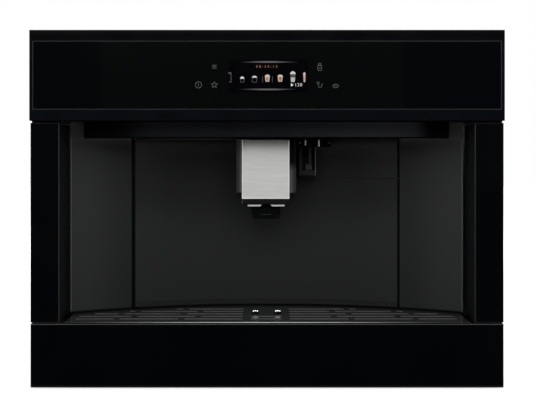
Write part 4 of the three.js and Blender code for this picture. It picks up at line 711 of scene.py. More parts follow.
def line(points, width, closed=False):
    """The outline of a stroke along points: one drawing, or an outer and an inner one where it closes."""
    count = len(points)
    sides = ([], [])
    for i, (u, v) in enumerate(points):
        before = points[i - 1] if closed or i > 0 else None
        after = points[(i + 1) % count] if closed or i < count - 1 else None
        along = Vector((0, 0))
        for a, b in ((before, (u, v)), ((u, v), after)):
            if a is not None and b is not None:
                along += (Vector(b) - Vector(a)).normalized()
        along.normalize()
        normal = Vector((-along.y, along.x)) * width / 2
        if before is not None and after is not None:
            step = (Vector(after) - Vector((u, v))).normalized()
            normal /= max(0.35, along.dot(step))
        sides[0].append((u + normal.x, v + normal.y))
        sides[1].append((u - normal.x, v - normal.y))
    return sides if closed else sides[0] + sides[1][::-1]


# ---------------------------------------------------------------- display
DISPLAY_CENTRE = (1.2, 392.5)
WINDOW_HALF = (50, 21)
WINDOW_CORNER = 4
GLOWS = ((1.2, 17, 0.4), (-0.8, -16.6, -0.4))  # place from the centre, and bend, of the two lit lines
GLOW_REACH = 37
GLOW_T = 2
CLOCK_SHIFT = -1.6
CLOCK_V = 404
CLOCK_HEIGHT = 3.1
AMOUNT_SHIFT = 9.8
AMOUNT_HEIGHT = 3.8
DRINKS_U = 0.4  # the selected drink stands here
DRINKS_V = 384.2  # foot of the drinks
DRINK_PITCH = 15.8
START_MARK = (29.9, 381.1)
MARK_WIDTH = 3.4
MARK_HALF = 2.1


def glow_line(centre, reach, thickness, bend):
    """A curved bar that tapers to both ends."""
    upper, lower = [], []
    for share in steps_from(-1, 1, 24):
        swell = thickness / 2 * (1 - share * share) + 0.05
        u = centre[0] + share * reach
        v = centre[1] + bend * (1 - share * share)
        upper.append((u, v + swell))
        lower.append((u, v - swell))
    return lower + upper[::-1]


def tapered(low, high, foot, rim):
    """The part of a glass between two heights."""
    return [(-foot / 2, low), (foot / 2, low), (rim / 2, high), (-rim / 2, high)]


def dome(low, width, height):
    return [(width / 2 * math.cos(t), low + height * math.sin(t)) for t in steps_from(0, math.pi, 12)]


def tumbler(top, foot, rim):
    """The outline of an empty glass as one stroke."""
    return line([(-rim / 2, top), (-foot / 2, 0.3), (foot / 2, 0.3), (rim / 2, top)], 0.6)


# Place in the row, finish and drawing of each part of the drinks.
DRINKS = [
    (-2.95, "outline", line([(0.3, 12), (1.2, 12), (1.2, 0.6), (-1.2, 0.6)], 0.8)),
    (-2.98, "outline", tapered(10.6, 12.8, 3, 3.2)),
    (-1.99, "outline", tumbler(5.4, 4, 4.8)),
    (-1.99, "foam", dome(4.6, 5.2, 3)),
    (-1.02, "outline", tumbler(6, 5.2, 6)),
    (-1.02, "foam", dome(6, 6.2, 2.4)),
    (-0.38, "outline", tapered(0, 7.6, 0.6, 0.6)),
    (0.4, "outline", tapered(0, 7.6, 0.6, 0.6)),
    (0, "latte", tapered(1, 8, 4.6, 6.2)),
    (0, "foam", dome(7.8, 6.2, 2)),
    (1.02, "latte", tapered(1, 8, 4.6, 6.4)),
    (1.02, "foam", dome(7.8, 6.4, 1.8)),
    (2.02, "milk", tapered(0.6, 6.2, 4.6, 5.6)),
    (2.02, "bean", tapered(6.2, 10.4, 5.6, 6.4)),
    (2.02, "foam", dome(10.4, 6.8, 3.6)),
    (2.93, "latte", tapered(0.4, 10.4, 1.6, 2.8)),
    (2.93, "foam", dome(10.2, 3, 2.4)),
    (0, "coffee", tapered(2.2, 6, 1.8, 2.6)),
    (1.02, "coffee", tapered(2, 6.8, 2.2, 3.4)),
    (3.01, "coffee", tapered(1, 10, 0.5, 0.9)),
]


def make_display():
    cu, cv = DISPLAY_CENTRE
    across, upright = WINDOW_HALF
    window = rounded(cu - across, cu + across, cv - upright, cv + upright, WINDOW_CORNER)
    flat_piece("display_window", "display", [window])
    glows = [glow_line((cu + du, cv + dv), GLOW_REACH, GLOW_T, bend) for du, dv, bend in GLOWS]
    flat_piece("display_glow_lines", "glow_line", glows, 2)
    for kind, layer in (("outline", 2), ("foam", 3), ("latte", 2), ("milk", 2), ("bean", 2), ("coffee", 3)):
        drawn = [
            moved(outline, DRINKS_U + place * DRINK_PITCH, DRINKS_V)
            for place, name, outline in DRINKS if name == kind
        ]
        flat_piece(f"display_{kind}_parts", kind, drawn, layer)
    digits("display_clock", "label", "08:30:15", (cu + CLOCK_SHIFT, CLOCK_V), CLOCK_HEIGHT, 1.75)
    u, v = START_MARK
    mark = [(u, v - MARK_HALF), (u + MARK_WIDTH, v), (u, v + MARK_HALF)]
    flat_piece("display_start_mark", "white", [mark], 2)
    digits("display_amount", "white", "120", (u + AMOUNT_SHIFT, v), AMOUNT_HEIGHT, 1.25)


# ---------------------------------------------------------------- touch symbols
UPPER_ROW, LOWER_ROW, BEAN_ROW = 403.9, 381.2, 379.9
NEAR_COLUMN, FAR_COLUMN = 65.9, 85.8


def ellipse(cu, cv, a, b, steps=28):
    return [(cu + a * math.cos(t), cv + b * math.sin(t)) for t in steps_from(0, math.tau, steps)[:-1]]


def star(radius):
    points = []
    for i in range(10):
        reach = radius if i % 2 == 0 else radius * 0.45
        turn = math.pi / 2 + i * math.pi / 5
        points.append((reach * math.cos(turn), reach * math.sin(turn)))
    return points


def make_touch_symbols():
    half, thin = STROKE / 2, STROKE * 0.9
    symbols = {
        "menu": (-NEAR_COLUMN, UPPER_ROW, [
            rectangle(-2.7, 2.7, dv - half, dv + half) for dv in (-1.9, 0, 1.9)
        ]),
        "info": (-FAR_COLUMN, LOWER_ROW, [
            line(ellipse(0, 0, 3.9, 3.9), STROKE, True), rectangle(-half, half, -1.9, 2),
        ]),
        "favourite": (-NEAR_COLUMN, LOWER_ROW, [line(star(4), thin, True)]),
        "milk": (NEAR_COLUMN, UPPER_ROW, [
            line(rounded(-2.4, 2.4, -4.6, 1.4, 0.8, 3), STROKE, True),
            line(rounded(-1.7, 1.7, 2, 4.1, 0.5, 3), STROKE, True),
            rectangle(-1.2, 1.2, -2, -1.3),
        ]),
        "cup": (NEAR_COLUMN, LOWER_ROW, [
            line([(-1.6, 0.9), (-1.3, -2.9), (2, -2.9), (2.6, 0.9)], STROKE),
            line([(2.4, 0.4), (4, 1.2)], STROKE),
            line(ellipse(-2, 2.5, 1.4, 1.4, 16), thin, True),
        ]),
        "bean": (FAR_COLUMN, BEAN_ROW, [
            line(ellipse(0, 0, 3.5, 2.2), STROKE, True),
            line([(-2, -0.2), (-0.7, 0.4), (0.7, -0.4), (2, 0.2)], STROKE * 0.8),
        ]),
    }
    for name, (u, v, outlines) in symbols.items():
        flat_piece(f"touch_{name}_symbol", "printed", [moved(outline, u, v) for outline in outlines])


# ---------------------------------------------------------------- niche
WALL_RADIUS = 515
WALL_T = 2.5
WALL_CLEAR = 0.3  # pieces on the wall end this far before its face
ARC_Y = -607  # centre of the niche wall's curve
NICHE_HALF = 261.5
BEAD_R = 1.1
BOW_RADIUS = 1402.4
BOW_Y = 1196.4  # centre of the ledge's bow
LEDGE_ENDS = (-239, 237.1)
LEDGE_DROP = 1.4  # how far the painted shadow line under the ledge hangs below it
SEAM_SHIFT = 2.4  # the right seam is seen this much nearer to the middle
SILL_FOOT = 0.9


def on_arc(radius, x):
    return ARC_Y + math.sqrt(radius * radius - x * x)


def before_wall(xs):
    """Plan points that follow the niche wall just before its face."""
    return [(x, on_arc(WALL_RADIUS - WALL_CLEAR, x)) for x in xs]


def on_bow(x):
    """The bowed front of the ledge."""
    return BOW_Y - math.sqrt(BOW_RADIUS * BOW_RADIUS - x * x)


def arc_band(radius, thickness, x0, x1):
    """Plan outline of a curved wall between two distances from the middle."""
    xs = steps_from(x0, x1, max(4, round(abs(x1 - x0) / 4)))
    front = [(x, on_arc(radius, x)) for x in xs]
    back = [(x, on_arc(radius + thickness, x)) for x in reversed(xs)]
    return front + back


def wall_strip(name, offset, thickness, ends, z0, z1, finish="deep_black", **more):
    """A strip that follows the niche wall, an offset behind its face."""
    band = arc_band(WALL_RADIUS + offset, thickness, *ends)
    solid_piece(name, finish, prism(band, z0, z1), **more)


def make_side_walls():
    for side, word in SIDES:
        node = f"{word}_niche_wall"
        low, high = box(node)
        near, far = (high.x, low.x) if side < 0 else (low.x - 2.6, high.x - 1.1)
        band = arc_band(WALL_RADIUS, WALL_T, near, far)[::side]
        solid_piece(f"{node}_skin", "side_wall", prism(band, low.z, high.z), replaced=node, width=0.5)
        x = far - side * BEAD_R
        y = on_arc(WALL_RADIUS, x) - 0.6
        bead = lathe([(0, low.z), (BEAD_R, low.z), (BEAD_R, high.z), (0, high.z)], x, y, 16)
        solid_piece(f"{node}_bead", "wall_bead", bead)


def make_seams():
    """Black strips of painted shade that make the seams beside the door as wide as they look, and a lip
    under the panel.
    """
    wall_low, wall_high = box("right_niche_wall")
    door_low, door_high = box("door_skin")
    panel_low, panel_high = box("connector_panel")
    sill_low, sill_high = box("door_sill")
    backing = (wall_low.x - 2.6, wall_low.x + 3)
    wall_strip("right_seam_backing", 2.7, 1.4, backing, wall_low.z, wall_high.z - 21)
    foot, top, sill_top = sill_low.z + 0.1, panel_high.z, sill_high.z - 0.2
    left, right = box("left_niche_wall")[1].x, door_high.x
    start = right - SEAM_SHIFT
    cover = (left + 0.5, door_low.x + 0.2)
    edges = {
        "left_seam_edge": ("machine", (left - 1.2, left + 0.1), foot, top),
        "left_seam_cover": ("service_door", cover, door_low.z + 0.2, door_high.z - 1),
        "left_seam_foot": ("machine", (left, left + 3.4), foot, sill_top),
        "door_seam_edge": ("service_door", (start, right), door_low.z + 0.1, panel_low.z - 1.1),
        "right_seam_foot": ("machine", (start, right + 0.9), foot, sill_top),
        "panel_seam_edge": ("machine", (start, right), panel_low.z + 0.1, top),
    }
    for name, (body, ends, z0, z1) in edges.items():
        wall_strip(name, -0.2, 0.5, ends, z0, z1, body=body)
    ends = (panel_low.x + 6, panel_high.x - 2)
    wall_strip("connector_panel_lip", 0.3, 1.2, ends, panel_low.z - 0.65, panel_low.z + 0.2, "wall")


def make_sill():
    low, high = box("door_sill")
    foot = low.z + SILL_FOOT
    ends = (low.x, high.x)
    wall_strip("door_sill_strip", 0, WALL_T, ends, foot, high.z + 0.3, "sill", replaced="door_sill")
    # The sill's foot is set back and black, a painted shadow line under the door.
    wall_strip("door_sill_shadow_foot", 0.8, WALL_T - 0.8, ends, low.z, foot, replaced="door_sill")
    low, high = box("bay_floor")
    # A black strip paints the shadow line along the foot of the niche wall.
    wall_strip("bay_floor_shadow_line", 0.5, 0.7, (-NICHE_HALF - 3, NICHE_HALF + 3), low.z - 0.4, high.z + 0.2)


def make_ledge():
    dressed("lamp_ledge", "ledge", 0.3)
    low, high = box("lamp_ledge")
    # A black band under the bowed front and two end pieces paint the ledge's shadow line.
    foot = low.z - LEDGE_DROP
    xs = steps_from(*LEDGE_ENDS, 60)
    band = [(x, on_bow(x)) for x in xs] + [(x, on_bow(x) + 5) for x in reversed(xs)]
    parts = [prism(band, foot, low.z + 0.2)]
    for end, inner in zip(LEDGE_ENDS, (low.x + 0.5, high.x - 0.5)):
        parts.append(cuboid(*sorted((end, inner)), on_bow(end), on_bow(end) + 24, foot, high.z - 0.1))
    solid_piece("lamp_ledge_shadow_line", "shadow", *parts)
    dressed("niche_lamp", "opal", 0.5)


def make_niche():
    make_side_walls()
    make_seams()
    make_sill()
    dressed("connector_panel", "wall", 0.2)
    dressed("door_skin", "wall", 0.15, body="service_door")
    make_ledge()


# ---------------------------------------------------------------- coffee spout
SPOUT = {"body": "coffee_spout"}
BLACK_SPOUT = {"body": "coffee_spout", "slot": "black_plastic"}
FLANGE = 1.3  # folded edge beside the steel cover, on its right
FLANGE_RISE = 7  # it starts this much above the cover's foot
GUIDE_FILLET = 3.5
GUIDE_CUT = 1.5  # the guide ends this much higher than its CAD shape
SPOUT_PLAY = 0.5
COVER_WALL = 1.2
COVER_BEND = 2.0
HEM_T = 0.35
HEM_WIDTH = 1.1
LIP_HIGHLIGHT = (229.9, 235.7)  # foot and top of the painted highlight on the lip's left edge
STRIP_DEPTH = 4
NOZZLE_WIDER = (1, 0.5)  # on the left and on the right, against the CAD shape
NOZZLE_LOWER = 0.6
NOZZLE_LINE = (214.2, 214.9)
NOZZLE_LINE_HALF = 6.6
OUTLET_X = 9.5


def make_guide(body_low, body_high):
    """The rail on the door, open at the front where the spout's body slides in it."""
    low, high = box("spout_guide")
    ends = (body_low.x - SPOUT_PLAY, body_high.x + SPOUT_PLAY)
    depth = body_high.y + SPOUT_PLAY
    left, right = front_corners(low, high, GUIDE_FILLET, GUIDE_FILLET, 5)
    mouth = [(ends[0], low.y), (ends[0], depth), (ends[1], depth), (ends[1], low.y)]
    back = before_wall(steps_from(high.x, low.x, 12))
    rail = prism(left + mouth + right + back, low.z + GUIDE_CUT, high.z)
    solid_piece("spout_guide_rail", "guide", rail, body="service_door", replaced="spout_guide", width=0.4)


def make_cover():
    low, high = box("spout_cover")
    high.x -= FLANGE
    left, right = front_corners(low, high, COVER_BEND, COVER_BEND, 6)
    inner_left, inner_right = front_corners(low, high, COVER_BEND, COVER_BEND - COVER_WALL, 6)
    outline = [
        (low.x, high.y), *left, *right, (high.x, high.y),
        (high.x - COVER_WALL, high.y), *inner_right[::-1], *inner_left[::-1], (low.x + COVER_WALL, high.y),
    ]
    sheet = prism(outline, low.z, high.z)
    solid_piece("spout_steel_cover", "steel", sheet, replaced="spout_cover", width=0.3, **SPOUT)
    flange = cuboid(high.x - 0.4, high.x + FLANGE + 0.2, low.y + 2, high.y, low.z + FLANGE_RISE, high.z)
    solid_piece("spout_cover_flange", "flange", flange, width=0.2, **SPOUT)
    hem = [cuboid(low.x + 0.4, high.x - 0.4, low.y - HEM_T, low.y + 0.6, low.z, low.z + HEM_WIDTH)]
    for x in (low.x, high.x - HEM_WIDTH):
        hem.append(cuboid(x, x + HEM_WIDTH, low.y - HEM_T * 0.4, low.y + 1.4, low.z, high.z))
    solid_piece("spout_cover_hem", "rolled_edge", *hem, width=0.25, **SPOUT)


def make_bright_strips():
    low, high = box("spout_bright_strips")
    middle = (low.x + high.x) / 2
    foot, top = low.z - 0.1, high.z - 1.1
    half = [(24.4, foot), (24.4, top), (5.8, top), (7.8, foot)]
    strips = [
        prism([(middle + side * reach, z) for reach, z in half], low.y, low.y + STRIP_DEPTH, "y")
        for side in (-1, 1)
    ]
    node = "spout_bright_strips"
    solid_piece("spout_bright_strip_pair", "strip", *strips, replaced=node, width=0.3, **SPOUT)
    bridge = cuboid(low.x + 2, high.x - 2, low.y + STRIP_DEPTH - 0.1, high.y, low.z + 0.8, high.z)
    solid_piece("spout_strip_bridge", "deep_black", bridge, replaced=node, **BLACK_SPOUT)


def make_nozzles():
    node = "spout_nozzle_block"
    low, high = box(node)
    middle = (low.x + high.x) / 2
    left, right = low.x - NOZZLE_WIDER[0], high.x + NOZZLE_WIDER[1]
    foot = low.z - NOZZLE_LOWER
    flank = [(0.9, foot), (0.9, foot + 1.4), (2, low.z + 2.6), (0, low.z + 5.6), (0, high.z)]
    outline = [(left + 0.9, foot)] + [(right - inset, z) for inset, z in flank]
    outline += [(left + inset, z) for inset, z in reversed(flank[1:])]
    block = prism(outline, low.y, high.y, "y")
    solid_piece("spout_nozzle_body", "deep_black", block, replaced=node, width=0.3, **BLACK_SPOUT)
    rings = [(0, -0.2), (2.4, -0.2), (2.6, -0.8), (3.4, -0.8), (3.6, 0.4), (0, 0.4)]
    profile = [(radius, foot + dz) for radius, dz in rings]
    outlets = [lathe(profile, middle + side * OUTLET_X, (low.y + high.y) / 2, 24) for side in (-1, 1)]
    solid_piece("spout_outlets", "black", *outlets, **SPOUT)
    ends = (middle - NOZZLE_LINE_HALF, middle + NOZZLE_LINE_HALF)
    groove = cuboid(*ends, low.y - 0.2, low.y + 1, *NOZZLE_LINE)
    solid_piece("spout_nozzle_line", "lever", groove, width=0.15, **BLACK_SPOUT)


def make_spout():
    low, high = box("spout_body")
    make_guide(low, high)
    make_cover()
    dressed("spout_body", "spout_black", **SPOUT)
    # A light strip on the lip's left edge is a painted highlight.
    edge = cuboid(low.x - 0.1, low.x + 0.7, low.y - 0.15, low.y + 1, *LIP_HIGHLIGHT)
    solid_piece("spout_lip_highlight", "flange", edge, **BLACK_SPOUT)
    make_bright_strips()
    make_nozzles()


# ---------------------------------------------------------------- steam and hot water connector
HOUSING_SHIFTS = (-1.6, -2.6)  # of its left and right side against the CAD shape
HOUSING_LIFT = 1.6  # and of its foot
HOUSING_CHEEK = 4.4
HOUSING_RIM = 1.4
HOUSING_SILL = 7  # height of the closed foot under the mouth
HOUSING_RECESS = 26  # depth of the mouth
TIP_X = 56.8
TIP_RISE = 4.4  # middle of the tip above the closed foot
TIP_HALF = (4.4, 3.6)  # across and upright
NECK_HALF = 2
PIN_R = 1.2
PINS = ((51.8, 9.6), (70.2, 11.2))  # place and length below the block's top


def make_connector():
    dressed("connector_block", "deep_black", 0.5, slot="black_plastic")
    dressed("connector_lever", "lever", 0.5, body="connector_lever")
    low, high = box("connector_housing")
    left, right = low.x + HOUSING_SHIFTS[0], high.x + HOUSING_SHIFTS[1]
    cheek, inner = left + HOUSING_CHEEK, right - HOUSING_RIM
    foot, top = low.z + HOUSING_LIFT, high.z
    sill = foot + HOUSING_SILL
    walls = [
        (left, right, 0, foot, sill), (left, cheek, 1, sill, top),
        (inner, right, 0.4, sill, top), (cheek, inner, HOUSING_RECESS, sill, top),
    ]
    parts = []
    for x0, x1, set_back, z0, z1 in walls:
        front = [(x0, low.y + set_back), (x1, low.y + set_back)]
        parts.append(prism(front + before_wall((x1, (x0 + x1) / 2, x0)), z0, z1))
    solid_piece("connector_housing_shell", "black", *parts, replaced="connector_housing", width=0.3)
    # The rim's light tone is a painted highlight along the housing's right front edge.
    rim = cuboid(inner, right - 0.2, low.y - 0.3, low.y + 0.8, foot + 0.4, top - 0.2)
    solid_piece("connector_housing_rim", "housing_rim_highlight", rim, width=0.25)
    z = sill + TIP_RISE
    across, upright = TIP_HALF
    head = cuboid(TIP_X - across, TIP_X + across, low.y + 3, low.y + 11, z - upright, z + upright)
    neck = cuboid(TIP_X - NECK_HALF, TIP_X + NECK_HALF, low.y + 5, low.y + 9, sill - 0.1, z - upright + 0.1)
    solid_piece("connector_tip", "tip", head, neck, width=0.4)
    make_pins()


def make_pins():
    low, high = box("connector_block")
    top = high.z - 2.6
    pins = []
    for x, length in PINS:
        foot = high.z - length
        profile = [(0, foot - 0.5), (PIN_R * 0.6, foot - 0.3), (PIN_R, foot + 0.3), (PIN_R, top), (0, top)]
        pins.append(lathe(profile, x, low.y + 0.6, 20))
    solid_piece("connector_pins", "pin", *pins)


# ---------------------------------------------------------------- pieces made by Geometry Nodes
def new_group(name, *sizes):
    """A geometry node tree with an input for each named size and for the finish."""
    tree = bpy.data.node_groups.new(name, "GeometryNodeTree")
    kinds = {"Geometry": "Geometry", **dict.fromkeys(sizes, "Float"), "Finish": "Material"}
    for label, kind in kinds.items():
        tree.interface.new_socket(label, in_out="INPUT", socket_type=f"NodeSocket{kind}")
    tree.interface.new_socket("Geometry", in_out="OUTPUT", socket_type="NodeSocketGeometry")
    return tree, add(tree, "NodeGroupInput").outputs


def end_group(tree, geometry, finish):
    """Ends a tree in real geometry with its finish on."""
    real = add(tree, "GeometryNodeRealizeInstances", {"Geometry": geometry}).outputs["Geometry"]
    painted = add(tree, "GeometryNodeSetMaterial", {"Geometry": real, "Material": finish})
    add(tree, "NodeGroupOutput", {"Geometry": painted.outputs["Geometry"]})
    return tree


def with_tree(name, finish, mesh, tree, sizes, **more):
    """Runs a node tree on a mesh of paths or points and keeps its result as a plain piece."""
    holder = linked(name + "_raw", mesh)
    modifier = holder.modifiers.new(name, "NODES")
    modifier.node_group = tree
    sockets = {item.name: item.identifier for item in tree.interface.items_tree if item.in_out == "INPUT"}
    for label, size in sizes.items():
        modifier[sockets[label]] = size * MM
    modifier[sockets["Finish"]] = FINISHES[finish][0]
    bm = bmesh.new()
    bm.from_mesh(baked(holder))
    bmesh.ops.recalc_face_normals(bm, faces=bm.faces)
    place_piece(name, bm, finish, **more)


# ---------------------------------------------------------------- drip tray
TRAY = {"body": "drip_tray"}
MIDDLE_X = -1.2
FRONT_Y = -231
SLOT_WIDTH = 3
SLOT_LENGTH = 74
SLOT_BREAK = 9
SLOT_ROWS = 5
ROW_PITCH = 19.8
FIRST_ROW = 28
FIRST_SLOT = 31  # where the rows start beside the middle
SHORT_SLOT_HALF = 19.5
GRILLE_RIM = 12
GRILLE_HALF = 256.5
BEAD = 0.45
RIM_OVERLAP = 0.2  # how far the rims, whose light tone is a painted highlight of the slot edges, lie outside their slots
LIP_R = 0.5
STUD_SHIFT = {"left": 1.2, "right": 0}
STUD_INSET = 1  # a cap's radius is this much smaller than its CAD shape's
STUD_BRIM = 2.8  # height of the dark foot under the cap
STUD_EDGE = 0.4  # the cap's upright edge
WAIST_INSET = 0.6


def slot_places(back_edge):
    """Left end, right end and depth of each drain slot, in rows that follow the grille."""
    radius = WALL_RADIUS - 1.8 - GRILLE_RIM
    row_ys = [FRONT_Y + FIRST_ROW + row * ROW_PITCH for row in range(SLOT_ROWS)]
    places = []
    for row, y in enumerate(row_ys):
        room = math.sqrt(radius ** 2 - (y + SLOT_WIDTH - ARC_Y) ** 2)
        reach = min(GRILLE_HALF - GRILLE_RIM, room)
        stagger = (row % 2) * (SLOT_LENGTH + SLOT_BREAK) / 2
        for side in (-1, 1):
            start = FIRST_SLOT
            end = min(start + SLOT_LENGTH - stagger / 2, reach)
            while end - start > 2 * SLOT_WIDTH:
                places.append((*sorted((MIDDLE_X + side * start, MIDDLE_X + side * end)), y))
                start = end + SLOT_BREAK
                end = min(start + SLOT_LENGTH, reach)
    places += [(MIDDLE_X - SHORT_SLOT_HALF, MIDDLE_X + SHORT_SLOT_HALF, y) for y in row_ys[:2]]
    return [place for place in places if place[2] < back_edge]


def rim_tree():
    """Geometry nodes that sweep a round bead along every closed loop of edges."""
    tree, given = new_group("slot_rims", "Bead Radius")
    path = add(tree, "GeometryNodeMeshToCurve", {"Mesh": given["Geometry"]})
    round_bead = {"Resolution": 6, "Radius": given["Bead Radius"]}
    section = add(tree, "GeometryNodeCurvePrimitiveCircle", round_bead)
    swept = add(tree, "GeometryNodeCurveToMesh", {
        "Curve": path.outputs["Curve"], "Profile Curve": section.outputs["Curve"],
    })
    return end_group(tree, swept.outputs["Mesh"], given["Finish"])


def make_slot_rims(back_edge, z):
    verts, edges = [], []
    reach = SLOT_WIDTH / 2 + RIM_OVERLAP
    for x0, x1, y in slot_places(back_edge):
        outline = rounded(x0 - RIM_OVERLAP, x1 + RIM_OVERLAP, y - reach, y + reach, 0.6, 3)
        start = len(verts)
        verts += [spot("z", u, v, z) for u, v in outline]
        edges += [(start + i, start + j) for i, j in neighbours(len(outline))]
    paths = bpy.data.meshes.new("slot_paths")
    paths.from_pydata(verts, edges, [])
    with_tree("tray_slot_rims", "slot_rim", paths, rim_tree(), {"Bead Radius": BEAD}, **TRAY)


def make_stud(word):
    node = f"{word}_tray_stud"
    low, high = box(node)
    x, y = (low.x + high.x) / 2 + STUD_SHIFT[word], (low.y + high.y) / 2
    radius = (high.x - low.x) / 2 - STUD_INSET
    brim, crown = low.z + STUD_BRIM, high.z - 0.2
    shoulder = brim + STUD_EDGE
    bow = [
        (radius * math.cos(turn), shoulder + (crown - shoulder) * math.sin(turn))
        for turn in steps_from(0, math.pi / 2, 14)[1:-1]
    ]
    cap = lathe([(0, brim), (radius, brim), (radius, shoulder), *bow, (0, crown)], x, y, 48)
    solid_piece(f"{node}_cap", "chrome", cap, replaced=node, **TRAY)
    waist = radius - WAIST_INSET
    foot = lathe([(0, low.z), (waist, low.z), (waist, brim + 0.2), (0, brim + 0.2)], x, y)
    solid_piece(f"{node}_foot", "deep_black", foot, slot="black_plastic", **TRAY)


def make_tray():
    low, high = box("tray_grille")
    dressed("tray_grille", "grille", 0.1, 1, **TRAY)
    dressed("drip_basin", "black", **TRAY)
    make_slot_rims(high.y, high.z)
    section = arc(low.y - 0.9 + LIP_R, high.z - 0.35, LIP_R, 0, math.tau, 16)[:-1]
    solid_piece("tray_front_lip", "lip", prism(section, low.x + 0.4, high.x - 0.4, "x"), **TRAY)
    # A black strip on the grille's front face paints the shadow gap under its lip.
    shadow_strip = cuboid(low.x, high.x, low.y - 0.2, low.y + 0.5, low.z - 0.2, high.z - 0.1)
    solid_piece("tray_front_shadow_strip", "shadow", shadow_strip, slot="grille_black", **TRAY)
    for word in STUD_SHIFT:
        make_stud(word)


# ---------------------------------------------------------------- screws
SCREW_INSET = 9
HEAD_TAPER = 0.72
HEAD_SHARE = 0.4  # height of a screw head as a share of its radius
CROSS_ARMS = ((1.0, 0.2), (0.2, 1.0))  # the recess's two arms as shares of the radius
PANEL_HEAD = 3.4  # radii of the heads
SHEET_HEAD = 3.2
RUNNER_HEAD = 4
DOT_HEAD = 1.2
REAR_MIDDLE_Z = 255
REAR_FOOT_Z = 75
COVER_TOP = 441
COVER_YS = (-200, 10, 220)
SIDE_YS = (-195, 215)
SIDE_ZS = (75, 250, 420)
RUNNER_X = 269
RUNNER_YS = (-180, -50, 80, 200)
RUNNER_FLOOR = 2
DOT_XS = (44.4, 84.6)
DOT_Z = 310
DOT_DEPTH = 1.4  # how far behind the block's foremost edge the dots sit


def screw_tree():
    """Geometry nodes that set a cross-recess screw head on each point, facing along its own vector."""
    tree, given = new_group("screw_heads", "Head Radius", "Head Height")
    radius, height = given["Head Radius"], given["Head Height"]
    top = maths(tree, "MULTIPLY", radius, HEAD_TAPER)
    sizes = {"Vertices": 24, "Radius Top": top, "Radius Bottom": radius, "Depth": height}
    head = add(tree, "GeometryNodeMeshCone", sizes).outputs["Mesh"]
    cut = add(tree, "GeometryNodeMeshBoolean", {"Mesh 1": head}, operation="DIFFERENCE", solver="EXACT")
    lift = add(tree, "ShaderNodeCombineXYZ", {"Z": height}).outputs[0]
    for across in CROSS_ARMS:
        x, y = (maths(tree, "MULTIPLY", radius, share) for share in across)
        size = add(tree, "ShaderNodeCombineXYZ", {"X": x, "Y": y, "Z": height}).outputs[0]
        arm = add(tree, "GeometryNodeMeshCube", {"Size": size}).outputs["Mesh"]
        raised = add(tree, "GeometryNodeTransform", {"Geometry": arm, "Translation": lift})
        tree.links.new(raised.outputs["Geometry"], cut.inputs["Mesh 2"])
    facing = add(tree, "GeometryNodeInputNamedAttribute", {"Name": "facing"}, data_type="FLOAT_VECTOR")
    turn = add(tree, "FunctionNodeAlignRotationToVector", {"Vector": facing.outputs["Attribute"]}, axis="Z")
    heads = add(tree, "GeometryNodeInstanceOnPoints", {
        "Points": given["Geometry"], "Instance": cut.outputs["Mesh"], "Rotation": turn.outputs["Rotation"],
    })
    return end_group(tree, heads.outputs["Instances"], given["Finish"])


def screws(name, tree, places, facing, radius, finish="cast", slot="zinc_sheet", body="machine"):
    points = bpy.data.meshes.new(name + "_points")
    points.from_pydata([spot("z", *place) for place in places], [], [])
    for item in points.attributes.new("facing", "FLOAT_VECTOR", "POINT").data:
        item.vector = facing
    sizes = {"Head Radius": radius, "Head Height": radius * HEAD_SHARE}
    with_tree(name, finish, points, tree, sizes, body=body, slot=slot)


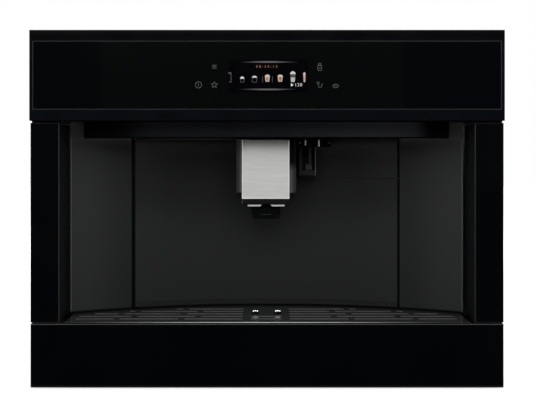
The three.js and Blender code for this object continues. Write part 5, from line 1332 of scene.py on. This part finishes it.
def make_screws():
    tree = screw_tree()
    low, high = box("rear_panel")
    xs = (low.x + SCREW_INSET, 0, high.x - SCREW_INSET)
    zs = (high.z - SCREW_INSET, REAR_MIDDLE_Z, REAR_FOOT_Z)
    rear = [(x, high.y, z) for x in xs for z in zs if (x, z) != (0, REAR_MIDDLE_Z)]
    screws("rear_panel_screws", tree, rear, (0, 1, 0), PANEL_HEAD)
    low, high = box("top_cover")
    xs = (low.x + SCREW_INSET, high.x - SCREW_INSET)
    cover = [(x, y, COVER_TOP) for x in xs for y in COVER_YS]
    screws("top_cover_screws", tree, cover, (0, 0, 1), SHEET_HEAD)
    for side, word in SIDES:
        x = side * box("right_side_panel")[1].x
        places = [(x, y, z) for y in SIDE_YS for z in SIDE_ZS]
        screws(f"{word}_side_screws", tree, places, (side, 0, 0), SHEET_HEAD)
    foot = [(side * RUNNER_X, y, RUNNER_FLOOR) for side in (-1, 1) for y in RUNNER_YS]
    screws("runner_foot_screws", tree, foot, (0, 0, 1), RUNNER_HEAD, body="cabinet_runners")
    front = box("connector_block")[0].y + DOT_DEPTH
    dots = [(x, front, DOT_Z) for x in DOT_XS]
    screws("connector_block_screws", tree, dots, (0, -1, 0), DOT_HEAD, "chrome", "chrome")


# ---------------------------------------------------------------- body, runners and inner units
SHEETS = (
    "upper_deck", "chassis_base", "left_side_panel", "right_side_panel", "rear_panel", "bay_floor",
    "top_cover",
)


def make_body():
    for node in SHEETS:
        dressed(node, "zinc", 0.3, 1)
    for word in ("left", "right"):
        dressed(f"{word}_machine_runner", "zinc", 0.3, 1)
        dressed(f"{word}_middle_runner", "cast", 0.3, 1, "middle_runners")
    dressed("cabinet_runners", "zinc", 0.3, 1, "cabinet_runners")


def make_units():
    dressed("door_inner_shell", "grey", 0.4, body="service_door")
    dressed("door_hinge_post", "cast", 0.3, body="service_door")
    dressed("water_tank", "clear", 0.5)
    dressed("water_tank_lid", "grey", 0.8)
    dressed("grounds_container", "grey", 0.6)
    dressed("brew_frame", "grey", 0.8)
    dressed("brew_carriage", "black", 0.8, body="brew_carriage")
    dressed("grinder_body", "cast", 0.5)
    dressed("grinder_burr", "cast", 0.3, body="grinder_burr")
    dressed("bean_container", "clear", 0.3)
    dressed("ground_coffee_chute", "grey", 0.3)
    dressed("bean_lid", "lid_black", 0.5, body="bean_lid")
    dressed("ground_coffee_lid", "lid_black", 0.4, body="ground_coffee_lid")
    dressed("grind_knob", "lid_black", 0.3, body="grind_knob")
    dressed("thermoblock", "cast", 0.6)
    dressed("water_pump", "cast", 0.6)
    dressed("steam_pipe", "tube", 0.0)
    dressed("power_inlet", "black", 0.3)
    dressed("main_switch_rocker", "grey", 0.3, body="main_switch_rocker")
    dressed("control_board", "board", 0.2, 1)
    dressed("touch_board", "board", 0.2, 1)
    dressed("display_module", "display", 0.4)


make_camera()
make_world()
make_floor()
make_lights()
make_finishes()
make_panels()
make_display()
make_touch_symbols()
make_niche()
make_spout()
make_connector()
make_tray()
make_body()
make_units()
make_screws()

bpy.context.scene.view_settings.view_transform = "Standard"
